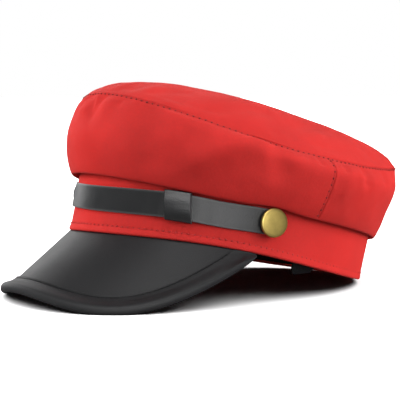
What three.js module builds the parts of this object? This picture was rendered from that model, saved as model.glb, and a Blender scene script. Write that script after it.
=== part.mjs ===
// A soft peaked cap: a full crown over an upright band, a bound peak, and a strap between two buttons.
// Millimetres, +Z up. The wearer faces -Y, so +X is the wearer's left.
// Angles round the cap are 0 at the middle of the front and grow towards the wearer's left.
// The cap is drawn level, with Z = 0 at the band's lower edge, and is then tipped back the way it lies
// on a table: on both cheeks of the peak and on the back of the band.

import * as THREE from 'three';
import { mergeVertices } from 'three/addons/utils/BufferGeometryUtils.js';

const { degToRad, lerp, smoothstep } = THREE.MathUtils;

// How the cap lies, and how far its weight flattens the cloth that touches the table
const REST_TILT = degToRad(12.96);
const BAND_FLATTENED = 0.3;

// Room left between two pieces that are sewn or laid together
const GAP = 0.3;

// Band round a head of about 56 cm; its lower edge dips at the front and lifts where the peak ends,
// it droops a little at the front on the wearer's right, and it leans out at the back
const BAND = {
  halfLength: 101.5,
  halfWidth: 82.2,
  wall: 2.2,
  hemHeight: 6,
  belowCrown: 0.7,
  lean: 0.06,
  leanFrom: 15,
  segments: 72,
};
const BAND_EDGE = { bow: 0.75, wave: 1.6 };
const DROOP = { depth: 3, angle: degToRad(-35), halfAngle: degToRad(28) };
const HEM_OUT = { front: 0.9, back: 0.2 };
const SWEATBAND = { wall: 1.2, aboveEdge: 2, belowTop: 1 };
const SIZE_TAB = { angle: degToRad(94), width: 15, thickness: 1.2, above: 14, tipHeight: 15.6, bevel: 3 };

// Crown cloth, and the ovals that its side panel runs through from the band up to the top seam
const CROWN = { cloth: 1.3, sideSeam: degToRad(91.5), frontSteps: 50, backSteps: 42 };
const CROWN_ROWS = table('front back half zFront zSide zBack', [
  [100.5, 100.5, 80.5, 36.2, 32.2, 28.6], // edge sewn to the band
  [103.2, 102.8, 83.2, 35.7, 31.6, 28], // cloth coming out over the band
  [107.8, 105.6, 87, 32, 29.2, 27.6], // lowest line of the roll
  [115, 108.3, 93.5, 51.4, 43.6, 42.6], // belly of the roll
  [113.3, 112.6, 96.2, 70.2, 58.5, 61.4], // shoulder
  [110.1, 114, 87.7, 81.8, 66.5, 82.4], // top seam
]);
const SIDE_LEVELS = [0, 1, 1.5, 2, 2.25, 2.6, 3, 3.4, 3.8, 4.2, 4.6, 4.99];
const ROLL_ROW = 2;
const TOP_SEAM = CROWN_ROWS.length - 1;

// The roll is pushed up where it sits on a button
const BUTTON_LIFT = { height: 1.9, halfAngle: degToRad(8) };

// Top panel: a cushion-like dome, flat in the middle and falling faster towards its seam
const TOP = { height: 95.5, backwardFall: 0.046, power: 4.3 };
const TOP_LEVELS = [0, 0.4, 0.66, 0.82, 0.92, 0.9985];

// Near the top seam both panels turn to one direction, so that their cut edges meet in a mitre
const MITRE = { sideRow: 4.5, topShare: 0.92 };

// Folds of the side panel, each a soft line from its upper to its lower end, out (+) or in (-)
const SIDE_FOLDS = table('upperAngle upperRow lowerAngle lowerRow height width', [
  [4.5, 4.9, 0, 3.8, -1.8, 5], // gather at the middle of the front
  [10, 4.9, 8, 4, 1.2, 5], // cloth standing up beside that gather
  [27, 4.2, 31.5, 2.9, -1.6, 9], // long hollow on the front cheek
  [37, 4.7, 37.5, 3.7, 1.4, 7], // soft ridge behind the hollow
  [68, 4.7, 48, 3.25, 2.6, 9], // sagging fold that runs down and forward
  [70, 4.9, 75, 3.4, -3, 8], // dent below the top seam
  [107.5, 4.8, 110, 3.5, -2, 6], // pucker behind the side seam
  [98.5, 4.6, 97.5, 3.4, 1.2, 6], // cloth standing up beside that pucker
  [149, 4.7, 145, 3.4, -1.6, 8], // pucker towards the back
]);
const TOP_FOLDS = table('angle inner outer height width', [
  [13, 0.78, 0.98, -1.2, 7], // pucker at the front of the top panel
  [34.5, 0.72, 0.97, -1.5, 12], // shallow dent above the front cheek
  [92.5, 0.62, 0.92, -1.4, 14], // shallow dent above the side seam
]);

// Where folds fade in and out: rows of the side panel, and shares of the way out to the top seam
const SIDE_FADE = { from: 2.1, full: 2.8, fading: 4.7, gone: 4.98 };
const TOP_FADE = { from: 0.2, full: 0.5, fading: 0.93, gone: 0.995 };

// Flat map of the side panel on which distances from a fold are measured
const ROW_HEIGHT = 16;
const FOLD_RADIUS = 100;

// Peak: plan of its edge, how far that edge drops below the band, and the folded binding round it
const PEAK = {
  halfSpan: degToRad(71.8),
  halfWidth: 79,
  endReach: 31.5,
  frontReach: 139.5,
  planPower: 0.85,
  endDrop: -0.3,
  fall: 47,
  fallPower: 0.68,
  cheek: 34,
  rootOut: 0.2,
  rootThickness: 2.8,
  edgeThickness: 1.6,
  taperReach: 11,
  seamDepth: 12,
  steps: 46,
  stepPower: 1.3,
  levels: [0, 0.3, 0.6, 0.85, 1],
};
const BINDING = { width: 9.2, mostOfReach: 0.8, leather: 1, roll: 1.2, roundSteps: 4 };

// Strap over the band, its loops and its buttons
const STRAP = {
  width: 15.1,
  thickness: 1.3,
  centreHeight: 20.1,
  lift: 0.4,
  ramp: 12,
  steps: 40,
  endSteps: 5,
};
const STRAP_SAG = { depth: 1.3, angle: degToRad(58), halfAngle: degToRad(13) };
const KEEPER = {
  leftAngle: degToRad(41.8),
  rightAngle: degToRad(-46.5),
  width: 15.5,
  lean: 0.17,
  leather: 1,
  dome: 1.5,
  corner: 0.9,
  lining: 0.15,
  lead: 3,
  steps: 4,
};
const BUTTON = { angle: degToRad(75.2), segments: 18 };
const BUTTON_PROFILE = table('radius height', [
  [0, 0],
  [2.2, 0],
  [2.2, 1.2],
  [7.6, 1.2],
  [8.5, 1.7],
  [8.7, 2.5],
  [8.4, 3.3],
  [7.8, 3.5],
  [7.4, 3.2],
  [4.5, 3.9],
  [0, 4.2],
]);

// Surfaces
const RED_COTTON = { color: '#cd2f2d', roughness: 0.85, metalness: 0 };
const BLACK_LINING = { color: '#17171a', roughness: 0.9, metalness: 0 };
const PEAK_LEATHER = { color: '#2b2b2d', roughness: 0.55, metalness: 0 };
const STRAP_LEATHER = { color: '#37393b', roughness: 0.4, metalness: 0 };
const AGED_BRASS = { color: '#c2a55c', roughness: 0.35, metalness: 1 };

function table(columns, rows) {
  const names = columns.split(' ');
  return rows.map((row) => Object.fromEntries(names.map((name, i) => [name, row[i]])));
}

// Smooth curve through a table's rows, column by column, running straight on at both ends
function between(rows, position) {
  const last = rows.length - 1;
  const i = Math.min(Math.max(Math.floor(position), 0), last - 1);
  const f = position - i;
  const result = {};
  for (const name of Object.keys(rows[0])) {
    const from = rows[i][name];
    const to = rows[i + 1][name];
    const before = i > 0 ? rows[i - 1][name] : 2 * from - to;
    const after = i + 2 <= last ? rows[i + 2][name] : 2 * to - from;
    const bend = 2 * before - 5 * from + 4 * to - after;
    const twist = 3 * (from - to) + after - before;
    result[name] = from + 0.5 * f * (to - before + f * (bend + f * twist));
  }
  return result;
}

function evenSteps(from, to, count) {
  return Array.from({ length: count + 1 }, (_, i) => lerp(from, to, i / count));
}

// Closed body through a row of loops with the same number of points.
// An open row is capped: point k of a loop lies across the wall from point k counted from its other end.
function loft(loops, isRing) {
  const across = loops[0].length;
  const faces = [];
  const quad = (a, b, c, d) => faces.push(a, b, c, a, c, d);
  const strips = isRing ? loops.length : loops.length - 1;
  for (let i = 0; i < strips; i++) {
    const here = i * across;
    const next = ((i + 1) % loops.length) * across;
    for (let k = 0; k < across; k++) {
      const k1 = (k + 1) % across;
      quad(here + k, next + k, next + k1, here + k1);
    }
  }
  if (!isRing) {
    const end = (loops.length - 1) * across;
    for (let k = 0; k < across / 2 - 1; k++) {
      const mate = across - 1 - k;
      quad(k, k + 1, mate - 1, mate);
      quad(end + k, end + mate, end + mate - 1, end + k + 1);
    }
  }
  return closedGeometry(loops.flat(), faces);
}

// Shared corners are merged, faces without area are dropped, and the faces point out
function closedGeometry(points, faces) {
  const drawn = new THREE.BufferGeometry().setFromPoints(points);
  drawn.setIndex(faces);
  const geometry = mergeVertices(drawn, 1e-4);
  const position = geometry.getAttribute('position');
  const corner = (i) => new THREE.Vector3().fromBufferAttribute(position, i);
  const index = geometry.getIndex().array;
  const kept = [];
  let volume = 0;
  for (let i = 0; i < index.length; i += 3) {
    const [a, b, c] = index.slice(i, i + 3);
    if (a === b || b === c || c === a) continue;
    kept.push([a, b, c]);
    volume += corner(a).dot(corner(b).cross(corner(c)));
  }
  geometry.setIndex(kept.flatMap(([a, b, c]) => (volume > 0 ? [a, b, c] : [a, c, b])));
  geometry.computeVertexNormals();
  return geometry;
}

function part(name, geometry, surface) {
  const mesh = new THREE.Mesh(geometry, new THREE.MeshStandardMaterial(surface));
  mesh.name = name;
  return mesh;
}

// Height of a point above the table once the cap is tipped
function tippedHeight(point) {
  return point.z * Math.cos(REST_TILT) - point.y * Math.sin(REST_TILT);
}

// Angle from the middle of the front, the same on both sides of the cap
function mirroredTurn(angle) {
  return Math.abs(Math.atan2(Math.sin(angle), Math.cos(angle)));
}

// Share of a fold's height at a distance from its line
function foldShare(across, width) {
  return Math.exp(-((across / width) ** 2));
}

function fade(level, { from, full, fading, gone }) {
  return smoothstep(level, from, full) * (1 - smoothstep(level, fading, gone));
}

function sideBase(angle, row) {
  const oval = between(CROWN_ROWS, row);
  const ahead = Math.cos(angle);
  const aside = Math.sin(angle);
  const reach = ahead > 0 ? oval.front : oval.back;
  const middle = ahead > 0 ? oval.zFront : oval.zBack;
  const onButton = foldShare(mirroredTurn(angle) - BUTTON.angle, BUTTON_LIFT.halfAngle);
  const atRoll = smoothstep(row, 0, 1) * (1 - smoothstep(row, ROLL_ROW, ROLL_ROW + 1));
  const lift = BUTTON_LIFT.height * onButton * atRoll;
  return new THREE.Vector3(oval.half * aside, -reach * ahead, lerp(middle, oval.zSide, aside ** 2) + lift);
}

function bandPoint(angle, z, out) {
  const behind = ((1 - Math.cos(angle)) / 2) ** 2;
  const leaning = out + BAND.lean * behind * (z - BAND.leanFrom);
  const x = (BAND.halfWidth + leaning) * Math.sin(angle);
  const y = -(BAND.halfLength + leaning) * Math.cos(angle);
  return new THREE.Vector3(x, y, z);
}

// Wavy line that the strap follows, and the lower edge that droops below it
function bandLine(angle) {
  return -BAND_EDGE.bow * Math.cos(2 * angle) - BAND_EDGE.wave * Math.cos(3 * angle);
}

function bandEdge(angle) {
  const turn = Math.atan2(Math.sin(angle), Math.cos(angle));
  return bandLine(angle) - DROOP.depth * foldShare(turn - DROOP.angle, DROOP.halfAngle);
}

// The band ends just below the crown's sewn edge
function bandTop(angle) {
  return sideBase(angle, 0).z - BAND.belowCrown;
}

// The hem stands out most at the front, where the peak pushes against it
function hemOut(angle) {
  return lerp(HEM_OUT.back, HEM_OUT.front, (1 + Math.cos(angle)) / 2);
}

const TABLE = tippedHeight(bandPoint(Math.PI, bandEdge(Math.PI), hemOut(Math.PI))) + BAND_FLATTENED;

// Cloth that would reach below the table is pressed flat on it
function pressedFlat(point) {
  const below = Math.max(TABLE - tippedHeight(point), 0);
  point.z += below / Math.cos(REST_TILT);
  return point;
}

function bandLoop(angle) {
  const edge = bandEdge(angle);
  const top = bandTop(angle);
  const hem = edge + BAND.hemHeight;
  return [
    pressedFlat(bandPoint(angle, edge, hemOut(angle))),
    bandPoint(angle, hem, 0),
    bandPoint(angle, top, 0),
    bandPoint(angle, top, -BAND.wall),
    bandPoint(angle, hem, -BAND.wall),
    pressedFlat(bandPoint(angle, edge, -BAND.wall)),
  ];
}

function sweatbandLoop(angle) {
  const outer = -BAND.wall - GAP;
  const inner = outer - SWEATBAND.wall;
  const low = bandEdge(angle) + SWEATBAND.aboveEdge;
  const high = bandTop(angle) - SWEATBAND.belowTop;
  return [
    bandPoint(angle, low, outer),
    bandPoint(angle, high, outer),
    bandPoint(angle, high, inner),
    bandPoint(angle, low, inner),
  ];
}

function ring(loopAt) {
  return loft(evenSteps(0, 2 * Math.PI, BAND.segments).slice(0, -1).map(loopAt), true);
}

// Tab with bevelled lower corners, which hangs down from the inside of the sweatband
function sizeTab() {
  const outer = -BAND.wall - GAP - SWEATBAND.wall - GAP;
  const inner = outer - SIZE_TAB.thickness;
  const halfAngle = SIZE_TAB.width / 2 / BAND.halfWidth;
  const bevelAngle = SIZE_TAB.bevel / BAND.halfWidth;
  const stations = [
    { shift: -halfAngle, raised: SIZE_TAB.bevel },
    { shift: bevelAngle - halfAngle, raised: 0 },
    { shift: halfAngle - bevelAngle, raised: 0 },
    { shift: halfAngle, raised: SIZE_TAB.bevel },
  ];
  const loops = stations.map(({ shift, raised }) => {
    const angle = SIZE_TAB.angle + shift;
    const high = bandEdge(SIZE_TAB.angle) + SIZE_TAB.above;
    const tip = tippedHeight(bandPoint(angle, 0, outer)) - TABLE - SIZE_TAB.tipHeight;
    const low = raised - tip / Math.cos(REST_TILT);
    return [
      bandPoint(angle, low, outer),
      bandPoint(angle, high, outer),
      bandPoint(angle, high, inner),
      bandPoint(angle, low, inner),
    ];
  });
  return loft(loops, false);
}

function topBase(angle, share) {
  const seam = sideBase(angle, TOP_SEAM);
  const { front, back } = CROWN_ROWS[TOP_SEAM];
  const centre = (back - front) / 2;
  const x = share * seam.x;
  const y = lerp(centre, seam.y, share);
  const plane = (at) => TOP.height - TOP.backwardFall * (at - centre);
  return new THREE.Vector3(x, y, plane(y) + (seam.z - plane(seam.y)) * share ** TOP.power);
}

function normalOf(surface, angle, level) {
  const step = 1e-3;
  const round = surface(angle + step, level).sub(surface(angle - step, level));
  const up = surface(angle, level + step).sub(surface(angle, level - step));
  return round.cross(up).normalize();
}

// The top panel's levels run outwards, so its normal is turned round to point up
function topNormal(angle, share) {
  return share === 0 ? new THREE.Vector3(0, 0, 1) : normalOf(topBase, angle, share).negate();
}

function seamNormal(angle) {
  return normalOf(sideBase, angle, TOP_SEAM).add(topNormal(angle, 1)).normalize();
}

function sideFold(angle, row) {
  const point = new THREE.Vector3(mirroredTurn(angle) * FOLD_RADIUS, row * ROW_HEIGHT, 0);
  const nearest = new THREE.Vector3();
  const flat = (degrees, level) => new THREE.Vector3(degToRad(degrees) * FOLD_RADIUS, level * ROW_HEIGHT, 0);
  let height = 0;
  for (const fold of SIDE_FOLDS) {
    const line = new THREE.Line3(flat(fold.upperAngle, fold.upperRow), flat(fold.lowerAngle, fold.lowerRow));
    line.closestPointToPoint(point, true, nearest);
    height += fold.height * foldShare(nearest.distanceTo(point), fold.width);
  }
  return height * fade(row, SIDE_FADE);
}

function topFold(angle, share) {
  const seam = CROWN_ROWS[TOP_SEAM].half;
  let height = 0;
  for (const fold of TOP_FOLDS) {
    const across = (mirroredTurn(angle) - degToRad(fold.angle)) * seam * share;
    const along = Math.max(fold.inner - share, share - fold.outer, 0) * seam;
    height += fold.height * foldShare(Math.hypot(across, along), fold.width);
  }
  return height * fade(share, TOP_FADE);
}

// Both faces of the cloth at one place, outer face first
function clothAt(base, normal, foldHeight) {
  const outer = base.addScaledVector(normal, foldHeight);
  return [outer, outer.clone().addScaledVector(normal, -CROWN.cloth)];
}

function clothLoop(faces) {
  const outer = faces.map(([face]) => face);
  const inner = faces.map(([, face]) => face);
  return [...outer, ...inner.reverse()];
}

function sideLoop(angle) {
  return clothLoop(
    SIDE_LEVELS.map((row) => {
      const normal = normalOf(sideBase, angle, row);
      normal.lerp(seamNormal(angle), smoothstep(row, MITRE.sideRow, TOP_SEAM)).normalize();
      return clothAt(sideBase(angle, row), normal, sideFold(angle, row));
    }),
  );
}

function topLoop(angle) {
  return clothLoop(
    TOP_LEVELS.map((share) => {
      const normal = topNormal(angle, share);
      normal.lerp(seamNormal(angle), smoothstep(share, MITRE.topShare, 1)).normalize();
      return clothAt(topBase(angle, share), normal, topFold(angle, share));
    }),
  );
}

const FRONT_ANGLES = evenSteps(-CROWN.sideSeam, CROWN.sideSeam, CROWN.frontSteps);
const BACK_ANGLES = evenSteps(CROWN.sideSeam, 2 * Math.PI - CROWN.sideSeam, CROWN.backSteps);

// Side panel, cut back by half a gap at each side seam
function sidePanel(angles) {
  const cutBack = GAP / 2 / BAND.halfWidth;
  const inside = angles.slice(1, -1);
  return loft([angles[0] + cutBack, ...inside, angles.at(-1) - cutBack].map(sideLoop), false);
}

function topPanel() {
  return loft([...FRONT_ANGLES, ...BACK_ANGLES.slice(1, -1)].map(topLoop), true);
}

// Places along the peak from its right end (-1) to its left end (1), closer together towards the ends
function peakTurn(along) {
  return Math.sign(along) * (Math.PI / 2) * (1 - (1 - Math.abs(along)) ** PEAK.stepPower);
}

function peakEdge(along) {
  const turn = peakTurn(along);
  const ahead = Math.max(Math.cos(turn), 0);
  const aside = Math.sin(turn);
  const y = -PEAK.endReach - (PEAK.frontReach - PEAK.endReach) * ahead ** PEAK.planPower;
  const drop = PEAK.endDrop + PEAK.fall * ahead ** PEAK.fallPower + PEAK.cheek * aside ** 2 * ahead;
  return new THREE.Vector3(PEAK.halfWidth * aside, y, -drop);
}

function peakRoot(along, out) {
  const angle = (PEAK.halfSpan * peakTurn(along)) / (Math.PI / 2);
  return bandPoint(angle, bandEdge(angle) - GAP, out);
}

// The peak and its binding thin out where the peak runs into the band
function peakSize(along) {
  const reach = peakEdge(along).distanceTo(peakRoot(along, PEAK.rootOut));
  return Math.min(reach / PEAK.taperReach, 1);
}

function peakThickness(along) {
  return lerp(PEAK.rootThickness, PEAK.edgeThickness, Math.abs(along)) * peakSize(along);
}

// Half the binding's thickness, inside and outside
function channelHalf(size) {
  return (size * PEAK.edgeThickness) / 2 + GAP;
}

function bindingHalf(size) {
  return channelHalf(size) + size * BINDING.leather;
}

// Frame of the peak's edge: the middle of the binding's fold, the ways out and up, and the way to the root.
// The way up is square to a line from the seam inside the band, so that it turns outwards at the peak's ends.
function peakFrame(along) {
  const step = 1e-3;
  const edge = peakEdge(along);
  const inside = Math.min(Math.max(along, -1 + step), 1 - step);
  const tangent = peakEdge(inside + step).sub(peakEdge(inside - step)).normalize();
  const root = peakRoot(along, PEAK.rootOut - peakThickness(along) / 2);
  const seam = new THREE.Vector3(0, 0, PEAK.seamDepth).add(root);
  const upper = edge.clone().sub(seam).cross(tangent).normalize();
  const outward = tangent.cross(upper).normalize();
  const size = peakSize(along);
  const centre = edge.addScaledVector(outward, -bindingHalf(size));
  return { centre, outward, upper, inward: root.sub(centre), size };
}

function peakLoop(along) {
  const { centre, upper, size } = peakFrame(along);
  const face = (out, side) => {
    const root = peakRoot(along, out);
    const end = centre.clone().addScaledVector(upper, (side * size * PEAK.edgeThickness) / 2);
    return PEAK.levels.map((level) => root.clone().lerp(end, level));
  };
  return [...face(PEAK.rootOut, 1), ...face(PEAK.rootOut - peakThickness(along), -1).reverse()];
}

// Section of the folded binding: its two lips, which lie along the peak, and the round fold between them,
// which rolls up above the peak
function bindingFace({ centre, outward, upper, inward, size }, half, roll) {
  const depth = Math.max(-inward.dot(outward), GAP);
  const lipShare = Math.min((BINDING.width - bindingHalf(size)) / depth, BINDING.mostOfReach);
  const at = (way, across, above) =>
    centre.clone().addScaledVector(way, across).addScaledVector(upper, above);
  const fold = evenSteps(Math.PI / 2, -Math.PI / 2, BINDING.roundSteps).map((turn) =>
    at(outward, half * Math.cos(turn), half * Math.sin(turn) + (roll * (1 + Math.sin(turn))) / 2),
  );
  return [at(inward, lipShare, half), ...fold, at(inward, lipShare, -half)].map(pressedFlat);
}

function bindingLoop(along) {
  const frame = peakFrame(along);
  const { size } = frame;
  const outer = bindingFace(frame, bindingHalf(size), size * BINDING.roll);
  return [...outer, ...bindingFace(frame, channelHalf(size), 0).reverse()];
}

// Length of the band's face for one radian at an angle
function bandArc(angle) {
  return Math.hypot(BAND.halfWidth * Math.cos(angle), BAND.halfLength * Math.sin(angle));
}

// Point on the strap: height above its middle line, which sags before the buttons, and distance out
function strapPoint(angle, up, out) {
  const sag = STRAP_SAG.depth * foldShare(mirroredTurn(angle) - STRAP_SAG.angle, STRAP_SAG.halfAngle);
  return bandPoint(angle, bandLine(angle) + STRAP.centreHeight - sag + up, out);
}

// The strap lies on the band and stands off it where a keeper passes behind it
const KEEPER_LIFT = KEEPER.leather + 2 * GAP;

function strapLift(angle) {
  const keeperAngle = angle > 0 ? KEEPER.leftAngle : KEEPER.rightAngle;
  const fromKeeper = Math.abs(angle - keeperAngle) * bandArc(keeperAngle);
  const beside = KEEPER.width / 2 + KEEPER.lead;
  return lerp(KEEPER_LIFT, STRAP.lift, smoothstep(fromKeeper, beside, beside + STRAP.ramp));
}

function strapLoop(angle) {
  const pastButton = Math.max((Math.abs(angle) - BUTTON.angle) * bandArc(BUTTON.angle), 0);
  const half = Math.sqrt((STRAP.width / 2) ** 2 - pastButton ** 2);
  const back = strapLift(angle);
  const front = back + STRAP.thickness;
  return [
    strapPoint(angle, -half, front),
    strapPoint(angle, half, front),
    strapPoint(angle, half, back),
    strapPoint(angle, -half, back),
  ];
}

// Strap with a rounded end behind each button
function strap() {
  const turns = evenSteps(0, Math.PI / 2, STRAP.endSteps).slice(1, -1);
  const roundEnd = turns.map(
    (turn) => BUTTON.angle + (Math.sin(turn) * STRAP.width) / 2 / bandArc(BUTTON.angle),
  );
  const angles = [
    ...roundEnd.map((angle) => -angle).reverse(),
    ...evenSteps(-BUTTON.angle, BUTTON.angle, STRAP.steps),
    ...roundEnd,
  ];
  return loft(angles.map(strapLoop), false);
}

// Outline of a loop round the strap as seen along it: distance out from the band, and height
function keeperOutline(back, front, half, corner) {
  const dome = (share) => [front + KEEPER.dome * (1 - share ** 2), share * half];
  return [
    [back, -half],
    [front - corner, -half],
    [front, -half + corner],
    dome(-1 / 2),
    dome(0),
    dome(1 / 2),
    [front, half - corner],
    [front - corner, half],
    [back, half],
  ];
}

// The loop leans, its top nearer to the front than its foot
function keeper(middle) {
  const back = KEEPER_LIFT - GAP;
  const front = KEEPER_LIFT + STRAP.thickness + GAP;
  const half = STRAP.width / 2 + GAP;
  const inner = keeperOutline(back, front, half, KEEPER.lining);
  const wall = KEEPER.leather;
  const outer = keeperOutline(back - wall, front + wall, half + wall, KEEPER.corner);
  const arc = bandArc(middle);
  const halfAngle = KEEPER.width / 2 / arc;
  const angles = evenSteps(middle - halfAngle, middle + halfAngle, KEEPER.steps);
  const lean = (Math.sign(middle) * KEEPER.lean) / arc;
  const along = ([out, up]) => angles.map((angle) => strapPoint(angle - lean * up, up, out));
  return loft(
    outer.map((place, k) => [...along(place), ...along(inner[k]).reverse()]),
    true,
  );
}

function button(name, side) {
  const profile = BUTTON_PROFILE.map(({ radius, height }) => new THREE.Vector2(radius, height));
  const turned = new THREE.LatheGeometry(profile, BUTTON.segments);
  const mesh = part(name, turned, AGED_BRASS);
  const facing = new THREE.Vector3(
    (side * Math.sin(BUTTON.angle)) / BAND.halfWidth,
    -Math.cos(BUTTON.angle) / BAND.halfLength,
    0,
  ).normalize();
  mesh.position.copy(strapPoint(side * BUTTON.angle, 0, STRAP.lift + STRAP.thickness + GAP));
  mesh.quaternion.setFromUnitVectors(new THREE.Vector3(0, 1, 0), facing);
  return mesh;
}

const crown = new THREE.Group();
crown.add(part('crown_top', topPanel(), RED_COTTON));
crown.add(part('crown_side_front', sidePanel(FRONT_ANGLES), RED_COTTON));
crown.add(part('crown_side_back', sidePanel(BACK_ANGLES), RED_COTTON));

const headband = new THREE.Group();
headband.add(part('band', ring(bandLoop), RED_COTTON));
headband.add(part('sweatband', ring(sweatbandLoop), BLACK_LINING));
headband.add(part('size_tab', sizeTab(), BLACK_LINING));

const boundPeak = new THREE.Group();
const peakPlaces = evenSteps(-1, 1, PEAK.steps);
boundPeak.add(part('peak', loft(peakPlaces.map(peakLoop), false), PEAK_LEATHER));
boundPeak.add(part('peak_binding', loft(peakPlaces.map(bindingLoop), false), PEAK_LEATHER));

const trim = new THREE.Group();
trim.add(part('strap', strap(), STRAP_LEATHER));
trim.add(part('keeper_left', keeper(KEEPER.leftAngle), STRAP_LEATHER));
trim.add(part('keeper_right', keeper(KEEPER.rightAngle), STRAP_LEATHER));
trim.add(button('button_left', 1));
trim.add(button('button_right', -1));

// The tipped cap stands with the middle of its outline over the origin
const cap = new THREE.Group();
cap.add(crown, headband, boundPeak, trim);
cap.rotation.x = -REST_TILT;
cap.updateMatrixWorld(true);
const outline = new THREE.Box3().setFromObject(cap, true);
const middle = outline.getCenter(new THREE.Vector3());
cap.position.set(-middle.x, -middle.y, -outline.min.z);

const peakedCap = new THREE.Group();
peakedCap.add(cap);
peakedCap.updateMatrixWorld(true);

export default peakedCap;
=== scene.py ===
"""Soft peaked cap of red cotton: its sewn pieces, finishes and small studio, laid out as an add-on."""

import math

import bmesh
import bpy
import numpy as np
from mathutils import Matrix, Vector, noise


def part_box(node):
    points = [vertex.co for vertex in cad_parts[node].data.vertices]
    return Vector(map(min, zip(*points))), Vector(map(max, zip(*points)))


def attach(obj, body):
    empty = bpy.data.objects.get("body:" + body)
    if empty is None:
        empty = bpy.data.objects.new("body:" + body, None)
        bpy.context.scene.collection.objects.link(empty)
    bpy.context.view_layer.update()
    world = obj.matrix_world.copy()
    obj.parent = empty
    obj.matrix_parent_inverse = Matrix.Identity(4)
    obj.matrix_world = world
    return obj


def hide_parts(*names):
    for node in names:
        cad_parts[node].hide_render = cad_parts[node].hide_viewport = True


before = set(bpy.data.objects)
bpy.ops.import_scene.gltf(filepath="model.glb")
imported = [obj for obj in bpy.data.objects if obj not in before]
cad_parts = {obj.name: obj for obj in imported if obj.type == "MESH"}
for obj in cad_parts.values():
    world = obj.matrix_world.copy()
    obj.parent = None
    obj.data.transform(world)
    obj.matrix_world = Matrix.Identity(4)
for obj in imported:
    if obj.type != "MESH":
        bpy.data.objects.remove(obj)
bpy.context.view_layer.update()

bl_info = {
    "name": "Soft Peaked Cap",
    "version": (1, 0, 0),
    "blender": (4, 5, 0),
    "location": "View3D > Sidebar > Cap",
    "description": "Sews a soft peaked cap with a bound peak, a strap and brass buttons",
    "category": "Object",
}

BODY = "root"
MM = 0.001
TURN = 2 * math.pi
SENSOR_WIDTH = 36.0
SEED_STEP = 17.3
WELD_DISTANCE = 1e-7

# Columns of points that the pieces are drawn with
COLUMNS = dict(seam=16, side=290, top=420, band=440, sweatband=220, peak=301, strap=260, button=72)

# The cap is drawn level in millimetres, with Z = 0 at the band's lower edge and -Y to the front,
# and is then tipped back the way it lies. Angles are 0 at the front and grow to the wearer's left.
REST_TILT = math.radians(12.96)
GAP = 0.3

# Band and what is sewn inside it
BAND = dict(
    half_length=101.5,
    half_width=82.2,
    wall=2.2,
    hem_height=6.0,
    below_crown=0.7,
    lean=0.06,
    lean_from=15.0,
)
BAND_EDGE = dict(bow=0.75, wave=1.6)
BAND_BULGE = dict(
    height=0.8, above_strap=2.6, width=2.2, fading=math.radians(55), gone=math.radians(68)
)
BAND_HILLS = dict(height=0.14, size=17.0)
DROOP = dict(depth=3.0, angle=math.radians(-35), half_angle=math.radians(28))
HEM_OUT = dict(front=0.9, back=0.2)
# tone is painted shade that darkens the colour along the hem's sewn groove
HEM_STITCH = dict(
    height=4.6,
    depth=0.2,
    width=0.7,
    puff=0.12,
    tone=0.2,
    sunk=0.35,
    fading=math.radians(50),
    gone=math.radians(95),
)
HEM_RIPPLES = dict(height=0.1, size=6.0, upright=0.35, reach=9.0)
# The cloth's colour is lighter along the hem's folded lower edge
HEM_FOLD_LIGHTER = dict(tone=0.12, width=0.9)
SWEATBAND = dict(wall=1.2, above_edge=2.0, below_top=1.0, segments=72)
SWEATBAND_OUTER = -BAND["wall"] - GAP
SWEATBAND_INNER = SWEATBAND_OUTER - SWEATBAND["wall"]
SIZE_TAB = dict(
    angle=math.radians(94), width=15.0, thickness=1.2, above=14.0, tip_height=15.6, bevel=3.0, soft=0.3
)

# Ovals that the crown's side panel runs through, from its edge sewn to the band up to the top seam
CROWN_ROWS = np.array(
    [
        # front, back, half width, heights at the front, side and back
        (100.5, 100.5, 80.5, 36.2, 32.2, 28.6),
        (103.2, 102.8, 83.2, 35.7, 31.6, 28.0),
        (107.8, 105.6, 87.0, 32.0, 29.2, 27.6),
        (115.0, 108.3, 93.5, 51.4, 43.6, 42.6),
        (113.3, 112.6, 96.2, 70.2, 58.5, 61.4),
        (110.1, 114.0, 87.7, 81.8, 66.5, 82.4),
    ]
)
CLOTH = 1.3
SIDE_SEAM = math.radians(91.5)
ROLL_ROW = 2.0
TOP_SEAM = len(CROWN_ROWS) - 1.0
LAST_ROW = 4.9995
LAST_SHARE = 0.9999
SEWN_GAP = 0.02
BUTTON_LIFT = dict(height=1.9, half_angle=math.radians(8))
TOP = dict(height=95.5, backward_fall=0.046, power=4.3)
MITRE = dict(side_row=4.5, top_share=0.92)

# Folds of the side panel: angle and row of the upper end and of the lower end, height and width
SIDE_FOLDS = (
    (4.5, 4.9, 0.0, 3.8, -1.8, 5.0),
    (10.0, 4.9, 8.0, 4.0, 1.2, 5.0),
    (27.0, 4.2, 31.5, 2.9, -1.6, 9.0),
    (37.0, 4.7, 37.5, 3.7, 1.4, 7.0),
    (67.0, 4.7, 48.0, 3.25, 2.7, 8.0),
    (69.0, 4.9, 73.0, 3.5, -2.2, 7.0),
    (106.5, 4.95, 107.5, 3.9, -1.7, 4.0),
    (98.5, 4.6, 97.5, 3.4, 1.2, 6.0),
    (149.0, 4.7, 145.0, 3.4, -1.6, 8.0),
)
# Finer gathers and puckers of the same panel
SIDE_PUCKERS = (
    (-7.0, 4.9, -9.0, 4.2, -0.9, 3.0),
    (-2.0, 4.9, -4.5, 4.0, 0.7, 3.0),
    (16.0, 4.9, 14.0, 4.4, -0.6, 3.0),
    (38.8, 4.0, 42.5, 3.6, -0.8, 4.0),
    (86.0, 4.95, 86.0, 4.3, -0.9, 2.4),
    (96.0, 4.95, 96.3, 4.2, -0.9, 2.4),
    (102.0, 4.8, 102.5, 4.1, 0.5, 3.0),
    (118.0, 4.9, 121.0, 4.2, -0.7, 4.0),
    (133.0, 4.9, 131.0, 4.3, 0.7, 4.0),
    (164.0, 4.9, 166.0, 4.1, -0.8, 4.0),
)
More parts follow.
